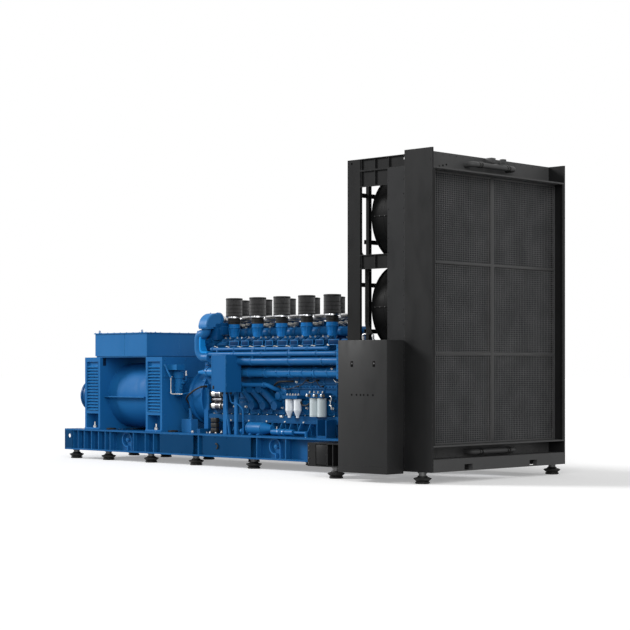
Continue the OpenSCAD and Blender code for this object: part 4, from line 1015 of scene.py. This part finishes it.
# three black blocks under the starters: painted shade below them
for up in (560, 640, 720):
    add_plate(starter_caps_leads_and_shade, (3290, 3420), (-470, -400), (up - 60, up + 14), 0.012)
fit_piece("starter_caps_leads_and_shade_blocks", starter_caps_leads_and_shade, rubber_black)
fit_piece("starter_bolts", starter_bolts, plated)

# -------- coolant heater
# A welded blue tank heater low on the deck, banded over its two feet; it
# tapers to a thick pipe with two clamp bands, which ends on the deck.
dress(canister_blue, "coolant_preheater")
heater_trim, heater_bright = bmesh.new(), bmesh.new()
heater_across = -475
for along in (4190, 4474):
    add_band(heater_trim, at(along, heater_across, 594), FRONT, 9, 94, 5, sides=36)
for along in (4250, 4420):
    add_plate(heater_trim, (along - 16, along + 16), (-560, -390), (497, 512))
add_lathe(heater_bright, at(4764, heater_across, 600), UP, [
    (0, 15), (10, 15), (12, 10), (32, 10)], 6)
for along in (4816, 4916):
    add_band(heater_bright, at(along, heater_across, 551), FRONT, 7, 45, 4)
fit_piece("heater_straps", heater_trim, canister_blue)
fit_piece("heater_fittings", heater_bright, plated)

# -------- control box
# A folded and welded steel box with a lipped, hinged cover, carried by two
# posts on the deck beside the engine; pipes and a stay pass under it.
control_blue = enamel("control_box_blue_enamel", (0.007, 0.096, 0.275), (0.010, 0.108, 0.300),
                      (0.06, 0.28, 0.54), skin=0.1)
dress(control_blue, "control_box")
dress(set_blue, "control_box_stand")
low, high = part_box("control_box")
cover_lip, latch = bmesh.new(), bmesh.new()
left, right, foot, top = low.x + 0.004, high.x - 0.004, low.z + 0.004, high.z - 0.004
for x0, x1, z0, z1 in ((left, right, foot, foot + 0.012), (left, right, top - 0.012, top),
                       (left, left + 0.012, foot, top), (right - 0.012, right, foot, top)):
    add_block(cover_lip, Vector((x0, low.y - 0.003, z0)), Vector((x1, low.y + 0.010, z1)))
for share in (0.2, 0.8):
    hinge = Vector((high.x + 0.003, low.y + 0.012, low.z + (high.z - low.z) * share))
    add_lathe(cover_lip, hinge, UP, [(-28, 8), (28, 8)], 16)
fit_piece("control_box_lip_and_hinges", cover_lip, control_blue)
add_block(latch, low + Vector((0.036, -0.010, 0.052)), low + Vector((0.058, -0.001, 0.092)), 0.004)
add_block(latch, low + Vector((0.030, -0.004, 0.046)), low + Vector((0.064, 0.001, 0.098)))
for along in (3810, 3905, 4000):
    add_lathe(latch, at(along, -700, 1140), (0, 0, -1), [(0, 20), (10, 20), (12, 15), (34, 15)], 6)
fit_piece("control_box_latch_and_glands", latch, rubber_black)

stand_pipes, stand_bright, ball = bmesh.new(), bmesh.new(), bmesh.new()
for across in (-551, -539):
    add_tube(stand_pipes, [at(3691, across, 1134), at(3805, across, 498)], 13, 4)
add_pipe(stand_pipes, [(3805, -552, 1135), (3847, -552, 966), (3970, -552, 970),
                       (4097, -540, 885), (4103, -540, 505)], 60, 12)
add_pipe(stand_pipes, [(3960, -505, 1250), (4600, -505, 1250), (4690, -450, 1190),
                       (4690, -350, 1170)], 70, 32)
add_band(stand_pipes, at(4034, -505, 1250), FRONT, 10, 32, 10)
add_band(stand_pipes, at(4528, -505, 1250), FRONT, 14, 32, 10)
fit_piece("stand_stay_and_pipes", stand_pipes, set_blue)
add_lathe(ball, at(4033, -500, 548), UP, [
    (-52, 0.1), (-52, 22), (-40, 22), (-32, 26), (-20, 36), (0, 41), (20, 36), (34, 22), (40, 8),
    (41, 0.1)], 28)
fit_piece("deck_ball_valve", ball, canister_blue)

# bolts of the stand, and small plated ends along the deck
add_bolts(stand_bright, (3691, 3947), (-560,), (1230, 1450), NEAR, 17)
for along, across, up, size in (
        (2905, -500, 498, 22), (3010, -480, 500, 15), (3110, -505, 499, 19), (3215, -480, 498, 14),
        (3320, -510, 500, 20), (3430, -490, 498, 15), (3583, -500, 510, 24), (2960, 500, 500, 18),
        (3400, 500, 500, 20)):
    outline = ((0, 1), (0.5, 1), (0.6, 0.65), (1.3, 0.65), (1.5, 0.3))
    add_lathe(stand_bright, at(along, across, up), UP,
              [(size * rise, size * wide) for rise, wide in outline], 6)
fit_piece("stand_and_deck_bolts", stand_bright, plated)

# -------- charge air cooler
# A welded cooler across the front of the engine, with bolted end covers, five
# ribs on its face and two bright vent pipes on its top.
dress(set_blue, "charge_air_cooler")
low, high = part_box("charge_air_cooler")
cooler_trim, vent_pipes = bmesh.new(), bmesh.new()
for along in (6262, 6372):
    add_pipe(vent_pipes, [(along, -215, 1826), (along, -215, 1990), (along + 84, -205, 1990),
                          (along + 84, -205, 1826)], 32, 15)
    for foot, across in ((along, -215), (along + 84, -204.5)):
        add_lathe(vent_pipes, at(foot, across, 1838), UP, [(0, 24), (16, 24), (18, 17)], 6)
fit_piece("cooler_vent_pipes", vent_pipes, line_steel)


def spaced(low, high, margin, count):
    """Places evenly from one margin to the other."""
    return [low + margin + (high - low - 2 * margin) * k / (count - 1) for k in range(count)]


for along, up in product((low.x + 0.018, high.x - 0.048), spaced(low.z, high.z, 0.03, 8)):
    add_bolt(cooler_trim, Vector((along, low.y + 0.001, up)), NEAR, 15)
    add_bolt(cooler_trim, Vector((along, high.y - 0.001, up)), FAR, 15)
for across, up in product(spaced(low.y, high.y, 0.05, 17), (low.z + 0.022, high.z - 0.022)):
    add_bolt(cooler_trim, Vector((high.x - 0.001, across, up)), FRONT, 15)
    add_bolt(cooler_trim, Vector((low.x + 0.001, across, up)), REAR, 15)
for across in spaced(low.y, high.y, 0.14, 5):
    add_block(cooler_trim, Vector((high.x - 0.004, across - 0.008, low.z + 0.05)),
              Vector((high.x + 0.012, across + 0.008, high.z - 0.05)))
fit_piece("cooler_ribs_and_bolts", cooler_trim, set_blue)

# -------- radiator base
# Two deep channels bent from thick plate and painted black with the rest of
# the cooling group; each is bolted to the side of the engine's frame.
frame_black = enamel("cooling_group_black", (0.0105, 0.0108, 0.0112), (0.0150, 0.0152, 0.0155),
                     (0.065, 0.065, 0.066), gloss=(0.34, 0.5), specular=0.10, skin=0.5)
front_black = enamel("header_black", (0.066, 0.0665, 0.067), (0.074, 0.0745, 0.075),
                     (0.12, 0.12, 0.12), gloss=(0.34, 0.5), specular=0.12, skin=0.5)
# near-black for small dark fittings, and for thin plates that paint the shade on the channels' rear
# strips
dark_fittings_and_painted_shade = enamel("dark_fittings_and_painted_shade_black", (0.0015, 0.0015, 0.0016), (0.0025, 0.0025, 0.0026),
                     (0.02, 0.02, 0.02), gloss=(0.5, 0.65), specular=0.04)
dress(frame_black, "radiator_base_sides", "radiator_base_cross_beams")
dress(front_black, "radiator_base_front")
base_bolts, base_covers, painted_shade_plates, pocket_rims = (bmesh.new() for k in range(4))
add_side_bolts(base_bolts, (6385,), 1445, (431, 367, 261, 192), 17)
add_side_bolts(base_bolts, (8105,), 1445, (420, 230), 19)
fit_piece("base_channel_bolts", base_bolts, foot_steel)
add_side_plates(base_covers, (6500, 6722), (1438, 1432), (176, 449), 0.002)
add_side_bolts(base_covers, (6702,), 1437, (200, 312, 425), 15)
fit_piece("base_channel_covers", base_covers, frame_black)
# thin near-black plates over the channels' rear strips: painted shade
add_side_plates(painted_shade_plates, (6368, 6490), (1443.5, 1440), (166, 458), 0.001)
fit_piece("base_painted_shade_plates", painted_shade_plates, dark_fittings_and_painted_shade)
for across, up in product((-705, 705), ((156, 162), (238, 244))):
    add_plate(pocket_rims, (8603, 8609), (across - 130, across + 130), up, 0.001)
fit_piece("fork_pocket_rims", pocket_rims, front_black)

# -------- fan frame
# Square posts, beams and bars of bent black plate that carry the fan motors,
# welded up in lengths and screwed together through oblong slots.
post_black = enamel("fan_frame_black", (0.0070, 0.0072, 0.0074), (0.0100, 0.0102, 0.0104),
                    (0.055, 0.055, 0.056), gloss=(0.36, 0.52), specular=0.08, skin=0.5)
dress(post_black, "fan_frame_posts", "fan_frame_beams", "fan_uprights")
fan_middles, fan_rows, post_off = (-722, 722), (1103, 2319, 3535), 1441
bars, frame_welds, frame_screws, cables = (bmesh.new() for k in range(4))
for row, (rise, reach) in product(fan_rows, ((315, 1333), (-315, 1118))):
    up = row + rise
    add_plate(bars, (7114, 7120), (-reach, reach), (up - 29, up + 29), 0.002)
    for lip in (up - 29, up + 23):
        add_plate(bars, (7116, 7152), (-reach, reach), (lip, lip + 6), 0.002)
    for across, step in product(fan_middles, (-80, -40, 40, 80)):
        add_bolt(frame_screws, at(7155, across + step, up), REAR, 14)
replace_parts(fit_piece("fan_motor_bars", bars, post_black), "fan_support_bars")
for up in (3920, 3146, 2715, 2284, 1680, 880):
    add_side_plates(frame_welds, (7116, 7338), (post_off, 1443.6), (up - 5, up + 5), 0.001)
for along, up in product((7354, 7602, 7847), (4163, 4282)):
    add_side_plates(frame_welds, (along - 3, along + 14), (1420, 1438), (up - 4, up + 4), 0.002)
for side, up in product(BOTH, (2964, 2875, 1830, 1745, 4064, 4000)):
    add_lathe(frame_screws, at(7180, side * post_off, up), (0, side, 0), [
        (0, 9), (2.6, 9), (2.8, 5)], 12)
for across, up in product((-1090, -400, 400, 1090), (1010, 1705, 2227, 2921, 3443, 4000)):
    for step in (-14, 14):
        add_bolt(frame_screws, at(7154, across + step, up + step), REAR, 13)
fit_piece("fan_frame_welds", frame_welds, post_black)
fit_piece("fan_frame_screws", frame_screws, foot_steel)

# the motors' three cables, which drop down side by side behind the near post
for k in range(3):
    back, across = 7310 - 24 * k, 24 * k - 1350
    add_pipe(cables, [(back, -1380, 3960), (back, -1380, 3040 - 22 * k), (7360, across, 2990),
                      (7360, across, 2060), (7420, across + 20, 1960)], 90, 11)
fit_piece("fan_motor_cables", cables, rubber_black)

# -------- fans
# Pressed steel rings welded to square sheets; in each a cast hub with six
# blades turns on the shaft of a finned motor behind a wire guard.
fan_steel = enamel("fan_ring_black", (0.0035, 0.0036, 0.0037), (0.0055, 0.0056, 0.0057),
                   (0.035, 0.035, 0.036), gloss=(0.45, 0.6), specular=0.06, skin=0.4)
blade_alloy = metal("fan_blade_alloy", (0.30, 0.31, 0.33), (0.35, 0.55), (1, 6, 6))
dress(fan_steel, "fan_shrouds", "fan_motors")


def off_hub(hub, along, radius, turn):
    """A place along a fan's shaft, and out from it at an angle."""
    return hub + Vector((along, radius * math.cos(turn), radius * math.sin(turn))) / 1000


ring_edges, ring_bolts, motor_trim, guards, blades = (bmesh.new() for k in range(5))
for across, row in product(fan_middles, fan_rows):
    hub = at(0, across, row)
    add_lathe(ring_edges, hub, FRONT, [
        (7449, 604), (7447, 609), (7452, 611), (7459, 610), (7461, 604)], 96)
    add_band(ring_edges, at(7646, across, row), FRONT, 6, 592.5, 2.5, sides=96)
    for side in BOTH:
        seam = across + side * 594
        add_plate(ring_edges, (7450, 7830), (seam - 4, seam + 4), (row - 12, row + 12), 0.002)
        for along in (7500, 7590, 7680, 7760):
            add_bolt(ring_bolts, at(along, seam + side * 4, row), (0, side, 0), 12)

    # cooling fins, end caps and the terminal box of the motor
    for k in range(24):
        fin = [off_hub(hub, along, 117, math.pi * k / 12) for along in (7200, 7530)]
        add_tube(motor_trim, fin, 3.2, 6)
    add_lathe(motor_trim, hub, FRONT, [(7166, 90), (7170, 112), (7184, 118), (7190, 116)], 40)
    add_lathe(motor_trim, hub, FRONT, [(7536, 116), (7540, 119), (7556, 116), (7558, 60)], 40)
    add_plate(motor_trim, (7280, 7400), (across - 50, across + 50), (row + 108, row + 165), 0.005)

    # the guard's nine rings on eight stays
    for radius in range(200, 569, 46):
        add_tube(guards, [off_hub(hub, 7444, radius, math.pi * k / 36) for k in range(73)], 3, 6)
    for k in range(8):
        stay = math.pi * (k + 0.25) / 4
        add_tube(guards, [off_hub(hub, 7440, radius, stay) for radius in (120, 585)], 3.4, 6)

    # hub and blades: each twists and sweeps back from root to tip
    add_lathe(blades, hub, FRONT, [
        (7592, 20), (7592, 60), (7596, 128), (7606, 136), (7740, 136), (7752, 128), (7756, 40),
        (7756, 20)], 48)
    for k in range(6):
        face, back = [], []
        for i in range(9):
            t = i / 8
            radius = 128 + 437 * t
            twist = math.radians(58 - 26 * t)
            chord = 150 + 50 * math.sin(math.pi * (0.25 + 0.6 * t))
            ring = []
            for j in range(7):
                c, camber = (j / 6 - 0.5) * chord, 18 * (1 - (j / 3 - 1) ** 2)
                swing = (camber * math.cos(twist) - c * math.sin(twist)) / radius + 0.10 * t * t
                ring.append((7673 + c * math.cos(twist) + camber * math.sin(twist),
                             math.pi * k / 3 + swing))
            for skin, thick in ((face, 0), (back, 4)):
                skin.append([blades.verts.new(off_hub(hub, along + thick, radius, turn))
                             for along, turn in ring])
        for i, j in product(range(8), range(6)):
            blades.faces.new((face[i][j], face[i][j + 1], face[i + 1][j + 1], face[i + 1][j]))
            blades.faces.new((back[i][j], back[i + 1][j], back[i + 1][j + 1], back[i][j + 1]))
        for i in range(8):
            blades.faces.new((face[i][0], face[i + 1][0], back[i + 1][0], back[i][0]))
            blades.faces.new((face[i][6], back[i][6], back[i + 1][6], face[i + 1][6]))
        for j in range(6):
            blades.faces.new((face[0][j], back[0][j], back[0][j + 1], face[0][j + 1]))
            blades.faces.new((face[8][j], face[8][j + 1], back[8][j + 1], back[8][j]))
fit_piece("fan_ring_edges", ring_edges, fan_steel)
fit_piece("fan_ring_bolts", ring_bolts, foot_steel)
fit_piece("motor_fins_and_caps", motor_trim, fan_steel)
fit_piece("fan_guards", guards, fan_steel)
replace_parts(fit_piece("fan_rotor_castings", blades, blade_alloy), "fan_rotors")

# -------- plenum
# A black box of folded sheet that leads the air from the core to the fans,
# screwed along its edges.
plenum_black = enamel("plenum_black", (0.0150, 0.0155, 0.0162), (0.0185, 0.0190, 0.0198),
                      (0.070, 0.070, 0.071), gloss=(0.35, 0.55), specular=0.10, skin=0.4)
dress(plenum_black, "plenum_side_panels", "plenum_covers")
plenum_seams, plenum_screws = bmesh.new(), bmesh.new()
add_side_bolts(plenum_screws, (7852, 8112), 1443.5, range(560, 3981, 190), 11)
add_bolts(plenum_screws, (7856, 8110), range(-1350, 1353, 193), (4148.5,), UP, 11)
for across, up in product((-1250, 0, 1250), (1711, 2927)):
    add_plate(plenum_seams, (7829, 7835), (across - 90, across + 90), (up - 3, up + 3), 0.001)
fit_piece("plenum_seams", plenum_seams, plenum_black)
fit_piece("plenum_screws", plenum_screws, plenum_black)

# -------- radiator core
# Flat tubes and folded fins, brazed into six panels and dipped in black; a
# welded wire guard in a flat frame stands in front of them.
core_black, core_shader = new_finish("core_black", specular=0.12, rough=0.6)
core_place = new_node(core_black, "NewGeometry")
core_fins = new_node(core_black, "TexWave", {"Scale": 12.0}, wave_type="BANDS",
                     bands_direction="Z", wave_profile="SAW")
core_tubes = new_node(core_black, "TexWave", {"Scale": 9.0}, wave_type="BANDS",
                      bands_direction="Y")
core_weave = new_node(core_black, "Math", operation="MULTIPLY")
for socket, bands in enumerate((core_fins, core_tubes)):
    wire(core_black, core_place, "Position", bands, "Vector")
    wire(core_black, bands, 1, core_weave, socket)
two_tone(core_black, core_shader, core_weave, (0.022, 0.025, 0.029), (0.078, 0.082, 0.086))
bumpy(core_black, core_shader, core_weave, 0, 0.4, 0.003)
dress(core_black, "radiator_core")
dress(front_black, "core_face_bars")

# the guard's upright and level wires, and the frame that they are welded to
guard_black, guard_shader = new_finish("guard_wire_black", specular=0.2, rough=0.55)
cloud(guard_black, guard_shader, "Base Color", grain(guard_black, 3.0, 4),
      (0.088, 0.088, 0.089), (0.128, 0.128, 0.129))
bumpy(guard_black, guard_shader, grain(guard_black, 400, 2), "Fac", 0.2, 0.0005)
guard_wires, guard_frame = bmesh.new(), bmesh.new()
for across in range(-1406, 1407, 37):
    add_plate(guard_wires, (8441, 8446), (across - 3.5, across + 3.5), (500, 4088), 0)
for up in (512 + 28.2 * k for k in range(127)):
    add_plate(guard_wires, (8446, 8450), (-1414, 1414), (up - 2.5, up + 2.5), 0)
for across in ((-36, 36), (-1416, -1392), (1392, 1416)):
    add_plate(guard_frame, (8438, 8456), across, (497, 4090))
for up, half in ((1694, 20), (2893, 20), (508, 11), (4079, 11)):
    add_plate(guard_frame, (8438, 8455), (-1416, 1416), (up - half, up + half))
for up in (620, 1300, 2000, 2700, 3400, 3990):
    add_side_plates(guard_frame, (8402, 8448), (1418, 1406), (up - 20, up + 20), 0.002)
fit_piece("core_guard_wires", guard_wires, guard_black)
fit_piece("core_guard_frame", guard_frame, front_black)

# -------- radiator sides and tanks
# Thick side channels tie the base to the tanks and hold the core between
# them; the headers are closed channels, bolted up along their edges.
dress(frame_black, "radiator_sides")
dress(front_black, "radiator_tanks")
side_folds, side_screws, header_plugs, top_trim = (bmesh.new() for k in range(4))
add_side_plates(side_folds, (8433, 8441), (1441, 1443.8), (480, 4340), 0.001)
add_side_plates(side_folds, (8500, 8604), (1441, 1443.8), (3530, 3560), 0.001)
add_side_bolts(side_folds, (8575,), 1441.5, (700, 1300, 1900, 2500, 3100, 3700, 4200), 11)
add_bolts(side_screws, (8343,), (-343, 343), (4170, 4230, 4290), FRONT, 11)
add_bolts(side_screws, (8412,), [across for across in range(-1330, 1331, 190) if across],
          (1694, 2893), FRONT, 13)
add_bolts(side_screws, (8343,), range(-1330, 1331, 140), (340, 470, 4120, 4326), FRONT, 12)
for across, up in ((-985, 4165), (-912, 4182), (-840, 4199)):
    add_lathe(header_plugs, at(8344, across, up), FRONT, [(-2, 13), (1, 13), (1.6, 9)], 16)
fit_piece("header_plugs", header_plugs, dark_fittings_and_painted_shade)
fit_piece("side_channel_folds", side_folds, frame_black)
fit_piece("radiator_screws", side_screws, foot_steel)

# the lug in the middle of the top, the filler cap and a plug on each side of it
add_plate(top_trim, (8340, 8474), (-46, 46), (4282, 4352), 0.006)
add_lathe(top_trim, at(8470, 207, 4300), UP, [(0, 40), (22, 40), (24, 46), (44, 46), (48, 38)], 20)
for across in (125, 289):
    add_lathe(top_trim, at(8343, across, 4312), FRONT, [(0, 16), (8, 16)], 6)
fit_piece("top_lug_and_cap", top_trim, front_black)

# -------- balance pipes
# A bent steel pipe links the two halves of each tank, with rubber joints held
# by worm-drive clamps.
dress(front_black, "balance_pipes")
clamps, hoses = bmesh.new(), bmesh.new()
for across, up in product((-300, 300), (4228, 383)):
    add_band(hoses, at(8480, across, up), FAR, 46, 38, 4, 4)
    for clamp in (across - 26, across + 26):
        add_band(clamps, at(8480, clamp, up), FAR, 7, 42, 2.5)
        add_plate(clamps, (8519, 8531), (clamp - 6, clamp + 6), (up - 12, up + 12), 0.002)
fit_piece("balance_pipe_hoses", hoses, rubber_black)
fit_piece("balance_pipe_clamps", clamps, foot_steel)

# -------- electrical cabinet
# A plain folded sheet cabinet on the side of the radiator, finished in the
# same black; two small lamps and a row of drilled plugs break its near face.
cabinet_black = enamel("cabinet_black", (0.0225, 0.0228, 0.0232), (0.0265, 0.0268, 0.0272),
                       (0.075, 0.075, 0.076), gloss=(0.35, 0.55), specular=0.10, skin=0.25)
low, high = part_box("electrical_cabinet")
cabinet_shell, devices, lenses, folds = (bmesh.new() for k in range(4))
add_block(cabinet_shell, low + Vector((0, 0.005, 0)), high, 0.006)
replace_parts(fit_piece("cabinet_shell", cabinet_shell, cabinet_black), "electrical_cabinet")
for along in (7500, 7893):
    add_plate(devices, (along - 20, along + 20), (-1779, -1772), (1519, 1594), 0.002)
    add_lathe(lenses, at(along + 6, -1778.4, 1562), NEAR, [(0, 11), (0.6, 11), (1.4, 7)], 16)
for along in (7498, 7585, 7656, 7713, 7786, 7876):
    add_lathe(devices, at(along, -1776, 1150), NEAR, [(0, 13), (2, 13), (3, 8)], 16)
add_plate(folds, (7262, 8108), (-1776.6, -1774), (214, 219), 0.001)
fit_piece("cabinet_lamps_and_plugs", devices, dark_fittings_and_painted_shade)
fit_piece("cabinet_lamp_lenses", lenses, guard_black)
fit_piece("cabinet_folds", folds, post_black)

# -------- floor, sky and lamps
# A pale floor that keeps the set's shadow under a white sky; one sun from the
# camera's left and a softer one from its right.
scene.view_settings.view_transform = "Standard"


def show_pale(mat, lit, pale, kind):
    """Shows the pale shader to the camera, straight or in gloss and glass, and lit to the rest."""
    path, mix = new_node(mat, "LightPath"), new_node(mat, "MixShader")
    seen, output = path, "Is Camera Ray"
    for ray in ("Is Glossy Ray", "Is Transmission Ray"):
        either = new_node(mat, "Math", operation="MAXIMUM")
        wire(mat, seen, output, either, 0)
        wire(mat, path, ray, either, 1)
        seen, output = either, 0
    for socket, part in enumerate((seen, lit, pale)):
        wire(mat, part, 0, mix, socket)
    wire(mat, mix, 0, new_node(mat, kind), "Surface")


sky = bpy.data.worlds.new("sky")
floor_pale = bpy.data.materials.new("pale_floor")
for mat in (sky, floor_pale):
    mat.use_nodes = True
    mat.node_tree.nodes.clear()
scene.world = sky
sky_light, sky_white = (
    new_node(sky, "Background", {"Color": (1, 1, 1, 1), "Strength": strength})
    for strength in (0.38, 1.0))
show_pale(sky, sky_light, sky_white, "OutputWorld")

floor_dim, floor_lit = (
    new_node(floor_pale, "BsdfDiffuse", {"Color": (tone, tone, tone, 1)}) for tone in (0.30, 0.80))
floor_glow = new_node(floor_pale, "Emission", {"Strength": 0.30})
floor_both = new_node(floor_pale, "AddShader")
wire(floor_pale, floor_lit, 0, floor_both, 0)
wire(floor_pale, floor_glow, 0, floor_both, 1)
show_pale(floor_pale, floor_dim, floor_both, "OutputMaterial")
bpy.ops.mesh.primitive_plane_add(size=400, location=(0, 0, 0))
floor = bpy.context.object
floor.name = "floor"
floor.data.materials.append(floor_pale)

for name, source, strength, soft in (("key_sun", (-0.75, -0.50, 0.42), 2.7, 0.3),
                                     ("fill_sun", (0.66, -0.62, 0.38), 1.65, 0.9)):
    lamp = bpy.data.lights.new(name, "SUN")
    lamp.energy = strength
    lamp.angle = soft
    sun = bpy.data.objects.new(name, lamp)
    sun.rotation_euler = Vector(source).to_track_quat("Z", "Y").to_euler()
    scene.collection.objects.link(sun)
